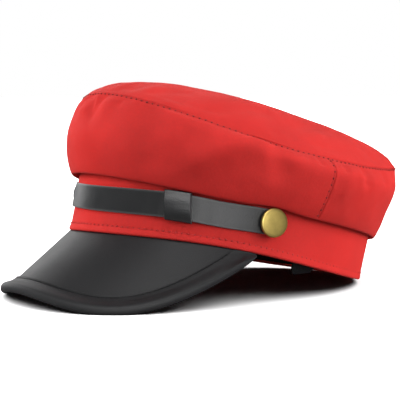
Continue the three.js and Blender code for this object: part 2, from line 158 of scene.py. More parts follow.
# Folds of the top panel: angle, shares of the way out at the inner and outer end, height and width
TOP_FOLDS = (
    (13.0, 0.78, 0.98, -1.2, 7.0),
    (34.5, 0.72, 0.97, -1.5, 12.0),
    (92.5, 0.62, 0.92, -1.4, 14.0),
    (6.0, 0.86, 0.97, 0.7, 3.5),
    (20.0, 0.88, 0.97, 0.6, 4.0),
    (62.0, 0.78, 0.94, 0.6, 10.0),
    (118.0, 0.85, 0.97, -0.7, 6.0),
    (147.0, 0.82, 0.94, 1.4, 16.0),
)
# Creases that run slantwise over the top panel: angle and share of both ends, height and width
TOP_CREASES = (
    (20.0, 0.98, 33.0, 0.80, -0.7, 4.0),
    (44.0, 0.98, 68.0, 0.80, -1.0, 5.0),
    (71.0, 0.98, 100.0, 0.74, -1.3, 5.5),
    (74.0, 0.95, 92.0, 0.84, 0.7, 5.0),
    (-28.0, 0.9, -44.0, 0.88, 2.4, 10.0),
    (-84.0, 0.97, -108.0, 0.80, -1.0, 5.0),
    (156.0, 0.97, 170.0, 0.82, -0.6, 5.0),
)
SIDE_FADE = (2.1, 2.8, 4.5, 4.98)
SIDE_FREE = (2.1, 2.7)
TOP_FADE = (0.2, 0.5, 0.93, 0.995)
ROW_HEIGHT = 16.0
FOLD_RADIUS = 100.0
# Soft hills of the cloth: size, seed and share of the whole height
SIDE_HILLS = ((21, 1, 1.0), (8, 2, 0.4))
TOP_HILLS = ((26, 7, 1.0), (9, 8, 0.3))
# Painted light and shade of the folds: the cloth's colour is lighter on raised folds and darker in hollows
PAINTED_FOLD_LIGHT_AND_SHADE = 0.06

# Seams and stitching of the crown
# shade is painted shade that darkens the colour along each seam's groove
SEAM = dict(
    depth=0.35, width=0.6, shade=0.5, hidden=math.radians(70), open=math.radians(98), least=0.12
)
SEAM_ARC = math.radians(3)
SEAM_SINK = dict(depth=0.9, width=3.5)
# Painted shade that darkens the colour along the stitch rows' grooves
PAINTED_STITCH_SHADE = 0.2
TOP_STITCH = dict(below=1.3, depth=0.15, width=0.6)
SIDE_STITCH = dict(beside=1.2, depth=0.25, width=0.6, last_row=4.85)
PUCKER = dict(length=11.0, reach=9.0, start=0.8, full=4.0, finer=2.3, finer_share=0.5)
EDGE_PUCKER = dict(length=7.0, reach=6.0, start=0.5, full=3.0, share=0.7)

# Peak, with its edge's plan and drop, and the binding folded round it
PEAK = dict(
    half_span=math.radians(71.8),
    half_width=79.0,
    end_reach=31.5,
    front_reach=139.5,
    plan_power=0.85,
    end_drop=-0.3,
    fall=47.0,
    fall_power=0.68,
    cheek=34.0,
    root_out=0.2,
    root_thickness=2.8,
    edge_thickness=1.6,
    taper_reach=11.0,
    seam_depth=12.0,
    step_power=1.3,
)
PEAK_TONGUE = dict(outer=-2.4, inner=-2.95, height=1.7, drop=0.3)
PEAK_HILLS = dict(height=0.16, size=34.0, fade=(0.02, 0.2, 0.7, 0.86))
BINDING = dict(
    width=12.5,
    most_of_reach=0.97,
    leather=1.0,
    roll=2.2,
    dip=0.4,
    roll_from=0.12,
    late_from=0.35,
    late_share=0.55,
    bead=4.0,
    # edge_lightening is a painted highlight that lightens the bead round the peak's edge
    edge_lightening=0.07,
)
# tone is painted shade that darkens the colour along the binding's stitch groove
BINDING_STITCH = dict(beside=1.3, depth=0.45, width=0.5, tone=0.9, fading=0.8, last=0.95)

# Strap, its loops and its buttons
STRAP = dict(width=15.1, thickness=1.3, centre_height=20.1, lift=0.4, ramp=12.0, corner=0.4)
STRAP_SAG = dict(depth=1.3, angle=math.radians(58), half_angle=math.radians(13))
# Strap edges are painted lighter: partly painted highlight where light catches them, partly wear
STRAP_EDGE_SHEEN_AND_WEAR = dict(tone=0.5, start=-0.7, full=-0.1)
KEEPER = dict(
    width=15.5,
    lean=0.17,
    leather=1.0,
    dome=2.3,
    corner=0.9,
    lining=0.15,
    slack=0.1,
    lead=3.0,
    edge=0.35,
    # edge_lightening makes the loop's outer face lighter towards its bevelled ends
    edge_lightening=0.3,
)
KEEPER_LIFT = KEEPER["leather"] + 2 * GAP
KEEPER_ANGLES = dict(keeper_left=math.radians(41.8), keeper_right=math.radians(-46.5))
BUTTON_ANGLE = math.radians(75.2)
BUTTON_SIDES = dict(button_left=1, button_right=-1)
BUTTON_SHANK = ((0.0, 0.0), (2.2, 0.0), (2.2, 1.2))
BUTTON_FACE = (
    # radius, height
    (7.6, 1.2),
    (8.5, 1.7),
    (8.7, 2.5),
    (8.35, 3.2),
    (7.7, 3.5),
    (6.4, 3.72),
    (4.0, 3.9),
    (0.0, 3.98),
)
# The brass rim is lighter and smoother, from polish and painted highlight; the groove inside it is darker
# from tarnish
BUTTON_TONE = dict(rim=8.1, rim_width=0.4, groove=7.35, groove_width=0.35, above=2.6, share=0.3)


def length_property(name, description, default):
    return bpy.props.FloatProperty(
        name=name, description=description, default=default, unit="LENGTH", precision=5
    )


def angle_property(name, description, degrees):
    return bpy.props.FloatProperty(
        name=name, description=description, default=math.radians(degrees), subtype="ANGLE"
    )


def number_property(name, description, default):
    return bpy.props.FloatProperty(name=name, description=description, default=default)


def colour_property(name, description, default):
    return bpy.props.FloatVectorProperty(
        name=name, description=description, default=default, subtype="COLOR", size=3, min=0.0, max=1.0
    )


class CapSizes(bpy.types.PropertyGroup):
    """Sizes of the sewing and of the cloth's small unevenness."""

    stitch_length: length_property("Stitch length", "Length of a stitch", 0.0024)
    stitch_pitch: length_property("Stitch pitch", "Distance between stitches", 0.0037)
    # The needle holes are drawn as dark beads of painted shade
    needle_hole_shade: length_property("Needle hole", "Width of the hole between stitches", 0.0013)
    thread: length_property("Thread", "Thickness of the sewing thread", 0.0005)
    pucker: length_property("Pucker", "Height of the puckers beside the seams", 0.0006)
    unevenness: length_property("Unevenness", "Height of the cloth's soft hills", 0.0005)
    weave: length_property("Weave", "Distance between threads of the cotton", 0.0008)
    grain: length_property("Grain", "Size of the leatherette's grain", 0.0007)


class CapColours(bpy.types.PropertyGroup):
    """Colours of the cap's materials, in linear light."""

    cotton: colour_property("Cotton", "Red cotton of crown and band", (0.55, 0.0205, 0.0175))
    thread: colour_property("Thread", "Thread of the seams", (0.52, 0.020, 0.018))
    lining: colour_property("Lining", "Black tape inside the band", (0.0025, 0.0025, 0.003))
    peak: colour_property("Peak", "Leatherette of the peak", (0.010, 0.010, 0.011))
    strap: colour_property("Strap", "Leatherette of the strap", (0.017, 0.0175, 0.0185))
    # Colour that lighter leatherette blends to: painted highlight on the binding's bead and the strap's
    # edges, wear on the strap's edges
    painted_light_and_wear: colour_property("Worn edge", "Leatherette where its edges are rubbed", (0.16, 0.16, 0.165))
    brass: colour_property("Brass", "Aged brass of the buttons", (0.57, 0.43, 0.13))


class CapStudio(bpy.types.PropertyGroup):
    """Camera and lights."""

    azimuth: angle_property("Azimuth", "Camera's way round the cap", 54.261)
    elevation: angle_property("Elevation", "Camera's way up", 4.75)
    distance: length_property("Distance", "From camera to aim", 0.85)
    aim: bpy.props.FloatVectorProperty(
        name="Aim",
        description="Middle of the picture, from the middle of the band's lower edge",
        default=(-0.00927, -0.00808, 0.03368),
        subtype="XYZ",
        unit="LENGTH",
        precision=5,
    )
    focal_length: number_property("Focal length", "Lens of the camera in millimetres", 117.8)
    sky: number_property("Sky", "Strength of the even light", 0.08)
    overhead: number_property("Overhead", "Strength of the floor's light", 9.0)
    brightness: number_property("Brightness", "Strength of the cap's lights", 1.0)


def ease(value, low, high):
    share = np.clip((value - low) / (high - low), 0, 1)
    return share * share * (3 - 2 * share)


def mix(start, end, share):
    return start + (end - start) * share


def bell(across, width):
    return np.exp(-((across / width) ** 2))


def unit(vectors):
    return vectors / np.linalg.norm(vectors, axis=-1, keepdims=True)


def stack(*columns):
    return np.stack(np.broadcast_arrays(*columns), axis=-1)


def hills(points, size, seed):
    """Smooth noise between about -1 and 1 at points in millimetres, with hills of a size."""
    spread = points.reshape(-1, 3) / size + SEED_STEP * seed
    heights = [noise.noise(Vector(place)) for place in spread.tolist()]
    return np.array(heights).reshape(points.shape[:-1])


def mixed_hills(points, rows):
    """Hills of several sizes: each row holds a size, a seed and a share of the height."""
    return sum(share * hills(points, size, seed) for size, seed, share in rows)


def along_curve(points):
    """Length along a curve's points, from its first one, on the axis before the last."""
    steps = np.linalg.norm(np.diff(points, axis=-2), axis=-1)
    start = np.zeros(steps.shape[:-1] + (1,))
    return np.concatenate([start, np.cumsum(steps, axis=-1)], axis=-1)


def between(rows, position):
    """Smooth curve through a table's rows, running straight on at both ends."""
    last = len(rows) - 1
    i = np.clip(np.floor(position).astype(int), 0, last - 1)
    f = (position - i)[..., None]
    start, end = rows[i], rows[i + 1]
    before = np.where((i > 0)[..., None], rows[np.maximum(i - 1, 0)], 2 * start - end)
    after = np.where((i + 2 <= last)[..., None], rows[np.minimum(i + 2, last)], 2 * end - start)
    bend = 2 * before - 5 * start + 4 * end - after
    twist = 3 * (start - end) + after - before
    return start + 0.5 * f * (end - before + f * (bend + f * twist))


def signed_turn(angle):
    return np.arctan2(np.sin(angle), np.cos(angle))


def mirrored_turn(angle):
    return np.abs(signed_turn(angle))


def side_base(angle, row):
    angle, row = np.broadcast_arrays(np.asarray(angle, float), np.asarray(row, float))
    front, back, half, z_front, z_side, z_back = np.moveaxis(between(CROWN_ROWS, row), -1, 0)
    ahead, aside = np.cos(angle), np.sin(angle)
    reach = np.where(ahead > 0, front, back)
    middle = np.where(ahead > 0, z_front, z_back)
    on_button = bell(mirrored_turn(angle) - BUTTON_ANGLE, BUTTON_LIFT["half_angle"])
    at_roll = ease(row, 0, 1) * (1 - ease(row, ROLL_ROW, ROLL_ROW + 1))
    lift = BUTTON_LIFT["height"] * on_button * at_roll
    return stack(half * aside, -reach * ahead, mix(middle, z_side, aside**2) + lift)


def top_base(angle, share):
    angle, share = np.broadcast_arrays(np.asarray(angle, float), np.asarray(share, float))
    seam = side_base(angle, np.full(angle.shape, TOP_SEAM))
    front, back = CROWN_ROWS[-1, 0], CROWN_ROWS[-1, 1]
    centre = (back - front) / 2
    y = mix(centre, seam[..., 1], share)

    def plane(at):
        return TOP["height"] - TOP["backward_fall"] * (at - centre)

    fall = (seam[..., 2] - plane(seam[..., 1])) * share ** TOP["power"]
    return stack(share * seam[..., 0], y, plane(y) + fall)


def normal_of(surface, angle, level, step=1e-3):
    round_way = surface(angle + step, level) - surface(angle - step, level)
    level_way = surface(angle, level + step) - surface(angle, level - step)
    return unit(np.cross(round_way, level_way))


def top_normal(angle, share):
    return -normal_of(top_base, angle, np.maximum(share, 0.01))


def seam_normal(angle):
    seam = np.full(np.shape(angle), TOP_SEAM)
    return unit(normal_of(side_base, angle, seam) + top_normal(angle, np.ones(np.shape(angle))))


def fade(level, stops):
    start, full, fading, gone = stops
    return ease(level, start, full) * (1 - ease(level, fading, gone))


def side_spot(angle, row):
    """Spot of the side panel on a flat map."""
    return stack(angle * FOLD_RADIUS, row * ROW_HEIGHT)


def top_spot(angle, share):
    """Spot of the top panel on its plan."""
    return top_base(angle, share)[..., :2]


def nearest_on(place, start, end):
    """Distance of places from the stretch between two ends."""
    way = end - start
    share = np.clip((place - start) @ way / (way @ way), 0, 1)
    return np.linalg.norm(place - start - share[..., None] * way, axis=-1)


def creases(rows, spot, angle, level):
    """Height at places of a panel, where each row is a fold that runs between two spots."""
    place = spot(angle, level)
    height = np.zeros(place.shape[:-1])
    for first_angle, first_level, last_angle, last_level, rise, width in rows:
        start = spot(math.radians(first_angle), first_level)
        end = spot(math.radians(last_angle), last_level)
        height += rise * bell(nearest_on(place, start, end), width)
    return height


def top_folds(angle, share):
    seam = CROWN_ROWS[-1, 2]
    height = np.zeros(np.broadcast(angle, share).shape)
    for fold_angle, inner, outer, rise, width in TOP_FOLDS:
        across = (mirrored_turn(angle) - math.radians(fold_angle)) * seam * share
        beyond = np.maximum(np.maximum(inner - share, share - outer), 0) * seam
        height += rise * bell(np.hypot(across, beyond), width)
    return height


def band_point(angle, z, out):
    behind = ((1 - np.cos(angle)) / 2) ** 2
    leaning = out + BAND["lean"] * behind * (z - BAND["lean_from"])
    x = (BAND["half_width"] + leaning) * np.sin(angle)
    y = -(BAND["half_length"] + leaning) * np.cos(angle)
    return stack(x, y, z)


def band_line(angle):
    return -BAND_EDGE["bow"] * np.cos(2 * angle) - BAND_EDGE["wave"] * np.cos(3 * angle)


def band_edge(angle):
    droop = DROOP["depth"] * bell(signed_turn(angle) - DROOP["angle"], DROOP["half_angle"])
    return band_line(angle) - droop


def band_top(angle):
    return side_base(angle, np.zeros(np.shape(angle)))[..., 2] - BAND["below_crown"]


def band_arc(angle):
    return np.hypot(BAND["half_width"] * np.cos(angle), BAND["half_length"] * np.sin(angle))


def tipped(points):
    x, y, z = np.moveaxis(points, -1, 0)
    cosine, sine = math.cos(REST_TILT), math.sin(REST_TILT)
    return stack(x, y * cosine + z * sine, z * cosine - y * sine)


def sweatband_span(angle):
    return band_edge(angle) + SWEATBAND["above_edge"], band_top(angle) - SWEATBAND["below_top"]


def sweatband_corners(angle):
    span = sweatband_span(angle)
    faces = (SWEATBAND_OUTER, SWEATBAND_INNER)
    return np.stack([band_point(angle, z, out) for z in span for out in faces], axis=1)


def resting_place():
    """Where the tipped cap's origin lies, in millimetres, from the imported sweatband."""
    own = tipped(sweatband_corners(np.linspace(0, TURN, SWEATBAND["segments"] + 1))).reshape(-1, 3)
    low, high = (np.array(corner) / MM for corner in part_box("sweatband"))
    return (low + high - own.min(axis=0) - own.max(axis=0)) / 2


PLACE = resting_place()


def settled(points):
    """Points of the level cap, in metres on the table, with what would reach below pressed flat."""
    world = tipped(points) + PLACE
    world[..., 2] = np.maximum(world[..., 2], 0)
    return world * MM


def corners_of(grid):
    return np.stack([grid[:-1, :-1], grid[1:, :-1], grid[1:, 1:], grid[:-1, 1:]], axis=2)


def cut_flat(loops, ring):
    """Spots on the cut cloth: the way along a row or round a ring of loops, and the way along each loop."""
    rows = np.concatenate([loops, loops[:1]]) if ring else loops
    closed = np.concatenate([rows, rows[:, :1]], axis=1)
    along = along_curve((closed if ring else rows).mean(axis=1))
    return stack(along[:, None], along_curve(closed))


def added(name, data):
    thing = bpy.data.objects.new(name, data)
    bpy.context.scene.collection.objects.link(thing)
    return thing


def add_piece(node, slot, loops, ring=False, tone=None, flat=None):
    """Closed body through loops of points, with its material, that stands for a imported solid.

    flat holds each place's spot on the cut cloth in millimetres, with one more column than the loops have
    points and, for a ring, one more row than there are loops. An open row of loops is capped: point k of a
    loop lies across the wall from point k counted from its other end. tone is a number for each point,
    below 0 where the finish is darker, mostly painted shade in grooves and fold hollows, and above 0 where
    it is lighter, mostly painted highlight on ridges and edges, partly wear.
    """
    name = node + "_" + STUFFS[slot]
    flat = cut_flat(loops, ring) if flat is None else flat
    count, across = loops.shape[:2]
    order = np.arange(count + 1) % count if ring else np.arange(count)
    grid = order[:, None] * across + np.arange(across + 1)[None, :] % across
    faces = corners_of(grid).reshape(-1, 4)
    spots = corners_of(flat).reshape(-1, 4, 2)
    if not ring:
        k = np.arange(across // 2 - 1)
        mate = across - 1 - k
        near = np.stack([k, k + 1, mate - 1, mate], axis=1)
        far = np.stack([k, mate, mate - 1, k + 1], axis=1)
        faces = np.concatenate([faces, near, far + (count - 1) * across])
        spots = np.concatenate([spots, flat[0][near], flat[-1][far]])
    points = settled(loops).reshape(-1, 3)
    a, b, c, d = (points[faces[:, i]] for i in range(4))
    volume = np.sum(a * np.cross(b, c)) + np.sum(a * np.cross(c, d))
    if volume < 0:
        faces, spots = faces[:, ::-1], spots[:, ::-1]
    mesh = bpy.data.meshes.new(name)
    mesh.from_pydata(points.tolist(), [], faces.tolist())
    cut = mesh.uv_layers.new(name="Cut")
    cut.data.foreach_set("uv", np.ascontiguousarray(spots * MM, dtype=np.float32).ravel())
    painted_light_and_wear = mesh.attributes.new("tone", "FLOAT", "POINT")
    if tone is not None:
        painted_light_and_wear.data.foreach_set("value", np.ascontiguousarray(tone, dtype=np.float32).ravel())
    welded = bmesh.new()
    welded.from_mesh(mesh)
    bmesh.ops.remove_doubles(welded, verts=welded.verts, dist=WELD_DISTANCE)
    welded.to_mesh(mesh)
    welded.free()
    mesh.shade_smooth()
    mesh.materials.append(material(slot))
    piece = added(name, mesh)
    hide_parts(node)
    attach(piece, BODY)


def add_node(tree, kind, settings=None, inputs=None):
    """Adds a node to a tree, with its settings and with a link or a value at each input given."""
    node = tree.nodes.new(kind)
    for key, value in (settings or {}).items():
        setattr(node, key, value)
    shown = {socket.name: socket for socket in node.inputs if socket.enabled}
    for key, value in (inputs or {}).items():
        socket = node.inputs[key] if isinstance(key, int) else shown[key]
        if isinstance(value, bpy.types.NodeSocket):
            tree.links.new(value, socket)
        else:
            socket.default_value = value
    return node


class Signal:
    """A value in a material's nodes: sums, products and the like of values add Math nodes."""

    def __init__(self, finish, socket):
        self.finish = finish
        self.socket = socket

    def math(self, operation, *terms):
        return self.finish.node("ShaderNodeMath", dict(operation=operation), dict(enumerate(terms)))

    def __add__(self, other):
        return self.math("ADD", self, other)

    def __sub__(self, other):
        return self.math("SUBTRACT", self, other)

    def __rsub__(self, other):
        return self.math("SUBTRACT", other, self)

    def __mul__(self, other):
        return self.math("MULTIPLY", self, other)

    __radd__ = __add__

    def sine(self):
        return self.math("SINE", self)

    def clamped(self):
        return self.math("MINIMUM", self.math("MAXIMUM", self, 0.0), 1.0)


class Finish:
    """A material with one Principled shader, whose constant numbers are set on the shader's own sockets."""

    def __init__(self, name, constants):
        self.material = bpy.data.materials.new(name)
        self.material.use_nodes = True
        self.tree = self.material.node_tree
        self.shader = self.tree.nodes["Principled BSDF"]
        for socket, value in constants.items():
            self.shader.inputs[socket].default_value = value

    def node(self, kind, settings=None, inputs=None, output=0):
        given = (inputs or {}).items()
        plain = {key: value.socket if isinstance(value, Signal) else value for key, value in given}
        return Signal(self, add_node(self.tree, kind, settings, plain).outputs[output])

    def place(self):
        return self.node("ShaderNodeTexCoord", output="Object")

    def cut(self):
        """The two ways across the cut cloth, in metres."""
        spot = self.node("ShaderNodeUVMap", dict(uv_map="Cut"))
        return [self.node("ShaderNodeSeparateXYZ", inputs={0: spot}, output=i) for i in range(2)]

    def tone(self):
        return self.node("ShaderNodeAttribute", dict(attribute_name="tone"), output="Fac")

    def noise(self, size, detail=2.0):
        """Noise around 0, between about -0.5 and 0.5, with spots of a size in metres."""
        settings = {"Vector": self.place(), "Scale": 1 / size, "Detail": detail}
        return self.node("ShaderNodeTexNoise", inputs=settings) - 0.5

    def pebbles(self, size):
        """Distance from the middle of the nearest pebble, about 0 to 0.7."""
        settings = {"Vector": self.place(), "Scale": 1 / size}
        return self.node("ShaderNodeTexVoronoi", inputs=settings, output="Distance")

    def blend(self, share, low, high):
        """Colour between two colours."""
        low, high = (one if isinstance(one, Signal) else (*one, 1.0) for one in (low, high))
        return self.node("ShaderNodeMix", dict(data_type="RGBA"), {0: share, 6: low, 7: high}, output=2)

    def shades(self, share, colour, dark, light):
        """Colour between a darker and a lighter shade of one colour."""
        return self.blend(share, scaled(colour, dark), scaled(colour, light))

    def feed(self, socket, signal):
        self.tree.links.new(signal.socket, self.shader.inputs[socket])

    def relief(self, height, depth):
        """Bump of a height signal, whose whole range is a depth in metres."""
        self.feed("Normal", self.node("ShaderNodeBump", inputs={"Height": height, "Distance": depth}))


def scaled(colour, factor):
    return tuple(min(part * factor, 1.0) for part in colour)


def palette():
    return bpy.context.scene.cap_colours


def cotton_finish():
    sizes = bpy.context.scene.cap_sizes
    sheen = {"Sheen Weight": 0.08, "Sheen Roughness": 0.45, "Sheen Tint": (1.0, 0.45, 0.42, 1.0)}
    finish = Finish("red_cotton", {"Specular IOR Level": 0.15, **sheen})
    along, up = finish.cut()
    weft = (along * (TURN / sizes.weave)).sine()
    warp = (up * (TURN / sizes.weave)).sine()
    slub = finish.noise(0.0016, 3.0)
    patch = finish.noise(0.022, 3.0)
    weave = weft * warp * 0.5 + slub
    finish.relief(weave, 0.00012)
    tone = finish.tone()
    # tone brings painted shade into seams, stitch rows, the hem's sewn line and fold hollows, painted light
    # onto fold ridges, and a lighter hem edge
    shade = (0.5 + slub * 0.35 + patch * 0.55 + weft * warp * 0.05 + tone * 0.5).clamped()
    finish.feed("Base Color", finish.shades(shade, palette().cotton, 0.74, 1.26))
    finish.feed("Roughness", (0.8 + slub * 0.2 - tone * 0.05).clamped())
    return finish.material


def thread_finish(name, colour):
    finish = Finish(name, {"Specular IOR Level": 0.3})
    twist = finish.noise(0.0004, 1.0)
    finish.feed("Base Color", finish.shades((0.5 + twist).clamped(), colour, 0.7, 1.3))
    finish.feed("Roughness", 0.65 + twist * 0.2)
    finish.relief(twist, 0.0001)
    return finish.material


def lining_finish():
    finish = Finish("black_lining", {"Specular IOR Level": 0.2})
    along = finish.cut()[0]
    rib = (along * (TURN / 0.0012)).sine()
    fluff = finish.noise(0.003, 3.0)
    finish.relief(rib * 0.5 + fluff, 0.0002)
    shade = (0.5 + rib * 0.2 + fluff * 0.6).clamped()
    finish.feed("Base Color", finish.shades(shade, palette().lining, 0.6, 1.6))
    finish.feed("Roughness", 0.85 + fluff * 0.15)
    return finish.material


def leatherette_finish(name, colour, gloss, roughness, grain_depth):
    sizes = bpy.context.scene.cap_sizes
    finish = Finish(name, {"Specular IOR Level": gloss})
    pebble = finish.pebbles(sizes.grain)
    fine = finish.noise(sizes.grain * 0.6, 2.0)
    patch = finish.noise(0.02, 3.0)
    finish.relief(0.6 - pebble + fine * 0.5, grain_depth)
    tone = finish.tone()
    # tone darkens stitch grooves as painted shade, and lightens the binding's bead and strap edges as
    # painted highlight and wear
    shade = (0.45 + patch * 0.5 - pebble * 0.15 + fine * 0.2 + tone * 0.5).clamped()
    whole = finish.shades(shade, colour, 0.7, 1.4)
    finish.feed("Base Color", finish.blend(tone.clamped(), whole, palette().painted_light_and_wear))
    finish.feed("Roughness", (roughness + patch * 0.12 + fine * 0.1 + pebble * 0.08).clamped())
    return finish.material


def brass_finish():
    finish = Finish("aged_brass", {"Metallic": 1.0})
    tarnish = finish.noise(0.004, 4.0)
    scratch = finish.noise(0.0007, 3.0)
    tone = finish.tone()
    # tone: lighter rim from polish and painted highlight, darker groove from tarnish
    shade = (0.6 + tarnish * 0.7 + tone * 0.6).clamped()
    finish.feed("Base Color", finish.shades(shade, palette().brass, 0.55, 1.12))
    finish.feed("Roughness", (0.46 - tarnish * 0.12 + scratch * 0.14 - tone * 0.14).clamped())
    finish.relief(scratch, 0.00003)
    return finish.material


MAKERS = dict(
    red_cotton=cotton_finish,
    black_lining=lining_finish,
    aged_brass=brass_finish,
    red_thread=lambda: thread_finish("red_thread", palette().thread),
    # Needle holes are dark beads of painted shade, in darkened cotton
    needle_hole_shade=lambda: thread_finish("needle_hole_shade", scaled(palette().cotton, 0.38)),
    hem_hole_shade=lambda: thread_finish("hem_hole_shade", scaled(palette().cotton, 0.75)),
    black_thread=lambda: thread_finish("black_thread", palette().lining),
    peak_leatherette=lambda: leatherette_finish("peak_leatherette", palette().peak, 0.28, 0.5, 0.00006),
    strap_leatherette=lambda: leatherette_finish("strap_leatherette", palette().strap, 0.45, 0.3, 0.00008),
)
MATERIALS = {}
# What a piece's name says it is made of
STUFFS = dict(
    red_cotton="cloth",
    black_lining="tape",
    peak_leatherette="leather",
    strap_leatherette="leather",
    aged_brass="brass",
)


def material(name):
    """A material by name, made when it is first asked for."""
    if name not in MATERIALS:
        MATERIALS[name] = MAKERS[name]()
    return MATERIALS[name]


def dense(*stretches):
    """Levels of several stretches, each a start, an end and a number of steps, in one rising row."""
    levels = [np.linspace(start, end, steps, endpoint=False) for start, end, steps in stretches]
    return np.concatenate(levels + [[stretches[-1][1]]])


def seam_puckers(angle, seed):
    """Puckers round a seam that follows the crown, as a height at each angle."""
    places = stack(FOLD_RADIUS * np.cos(angle), FOLD_RADIUS * np.sin(angle), 0.0)
    length = PUCKER["length"]
    rows = ((length, seed, 1.0), (length / PUCKER["finer"], seed + 1, PUCKER["finer_share"]))
    return mixed_hills(places, rows)


def by_seam(distance, pucker):
    """How strongly puckers show at a distance from their seam."""
    return np.exp(-distance / pucker["reach"]) * ease(distance, pucker["start"], pucker["full"])


def seam_opens(angle):
    """How open the top seam lies, which is drawn tight round the front."""
    return ease(mirrored_turn(angle), SEAM["hidden"], SEAM["open"])


def top_groove(angle, distance):
    """How deep the groove of the top seam is at a distance from it."""
    return bell(distance, SEAM["width"]) * mix(SEAM["least"], 1, seam_opens(angle))


def seam_sink(angle, distance):
    """Depth by which the tight front of the top seam draws both panels in."""
    return SEAM_SINK["depth"] * (1 - seam_opens(angle)) * bell(distance, SEAM_SINK["width"])


def cloth_wall(outer, normal):
    """Loops of a cloth wall from its outer face: out along one face and back along the other."""
    inner = outer - normal * CLOTH
    return np.concatenate([outer, inner[:, ::-1]], axis=1)


def wall_tone(tone):
    return np.concatenate([tone, 0 * tone], axis=1)


SIDE_ROWS = dense((0, ROLL_ROW, 14), (ROLL_ROW, 4.55, 50), (4.55, LAST_ROW, 24))
TOP_SHARES = dense((0, 0.5, 14), (0.5, 0.93, 30), (0.93, LAST_SHARE, 26))


def side_face(start, end, stitched_edges):
    """Outer face of a side panel between two side seams: points, normals, tone of painted shade and light,
    and stitch lines.
    """
    cut_back = SEWN_GAP / 2 / BAND["half_width"]
    first, last = start + cut_back, end - cut_back
    angles = dense(
        (first, first + SEAM_ARC, COLUMNS["seam"]),
        (first + SEAM_ARC, last - SEAM_ARC, COLUMNS["side"]),
        (last - SEAM_ARC, last, COLUMNS["seam"]),
    )
    angle, row = np.meshgrid(angles, SIDE_ROWS, indexing="ij")
    sizes = bpy.context.scene.cap_sizes
    pucker_height, hill_height = sizes.pucker / MM, sizes.unevenness / MM
    base = side_base(angle, row)
    normal = normal_of(side_base, angle, row)
    normal = unit(mix(normal, seam_normal(angle), ease(row, MITRE["side_row"], TOP_SEAM)[..., None]))
    from_top = along_curve(base[:, ::-1])[:, ::-1]
    round_way = along_curve(np.swapaxes(base, 0, 1)).T
    from_edge = np.minimum(round_way, round_way[-1:] - round_way)
    free = ease(row, *SIDE_FREE)
    folded = fade(row, SIDE_FADE)
    height = creases(SIDE_FOLDS, side_spot, mirrored_turn(angle), row) * folded
    height = height + creases(SIDE_PUCKERS, side_spot, signed_turn(angle), row) * folded
    height = height + hill_height * free * mixed_hills(base, SIDE_HILLS)
    height = height + pucker_height * by_seam(from_top, PUCKER) * seam_puckers(angle, 3)
    gathers = hills(stack(0 * row, 0 * row, from_top), EDGE_PUCKER["length"], 5)
    by_edge = by_seam(from_edge, EDGE_PUCKER) * free
    height = height + pucker_height * EDGE_PUCKER["share"] * by_edge * gathers
    edge_groove = bell(from_edge, SEAM["width"]) * ease(row, ROLL_ROW, ROLL_ROW + 0.1)
    seam = np.maximum(top_groove(angle, from_top), edge_groove)
    stitch = bell(from_top - TOP_STITCH["below"], TOP_STITCH["width"])
    if stitched_edges:
        above_roll = ease(row, ROLL_ROW, ROLL_ROW + 0.2)
        beside = bell(from_edge - SIDE_STITCH["beside"], SIDE_STITCH["width"]) * above_roll
        stitch = np.maximum(stitch, beside * SIDE_STITCH["depth"] / TOP_STITCH["depth"])
    height = height - SEAM["depth"] * seam - TOP_STITCH["depth"] * stitch - seam_sink(angle, from_top)
    outer = base + normal * height[..., None]
    # Painted shade in the seam's groove and the stitch rows, and painted light and shade on the folds
    tone = -SEAM["shade"] * seam - PAINTED_STITCH_SHADE * stitch + PAINTED_FOLD_LIGHT_AND_SHADE * height
    lines = [line_at(outer, from_top, TOP_STITCH["below"])]
    if stitched_edges:
        sewn = (SIDE_ROWS > ROLL_ROW) & (SIDE_ROWS < SIDE_STITCH["last_row"])
        edges = np.swapaxes(outer, 0, 1)[sewn]
        ways = round_way.T[sewn]
        lines.append(line_at(edges, ways, SIDE_STITCH["beside"]))
        lines.append(line_at(edges, ways[:, -1:] - ways, SIDE_STITCH["beside"]))
    return outer, normal, tone, lines


def line_at(points, distance, wanted):
    """Line through the places of each row of points that lie at a wanted distance."""
    nearest = np.argmin(np.abs(distance - wanted), axis=1)
    rows = np.arange(len(points))
    step = np.where(distance[rows, nearest] < wanted, 1, -1)
    rising = distance[rows, np.minimum(nearest + 1, distance.shape[1] - 1)] > distance[rows, nearest]
    other = np.clip(nearest + np.where(rising, step, -step), 0, distance.shape[1] - 1)
    near, far = distance[rows, nearest], distance[rows, other]
    share = np.where(far == near, 0, (wanted - near) / np.where(far == near, 1, far - near))
    return mix(points[rows, nearest], points[rows, other], share[:, None])


STITCH_LINES = {"crown_stitches": [], "band_stitches": [], "peak_stitches": []}


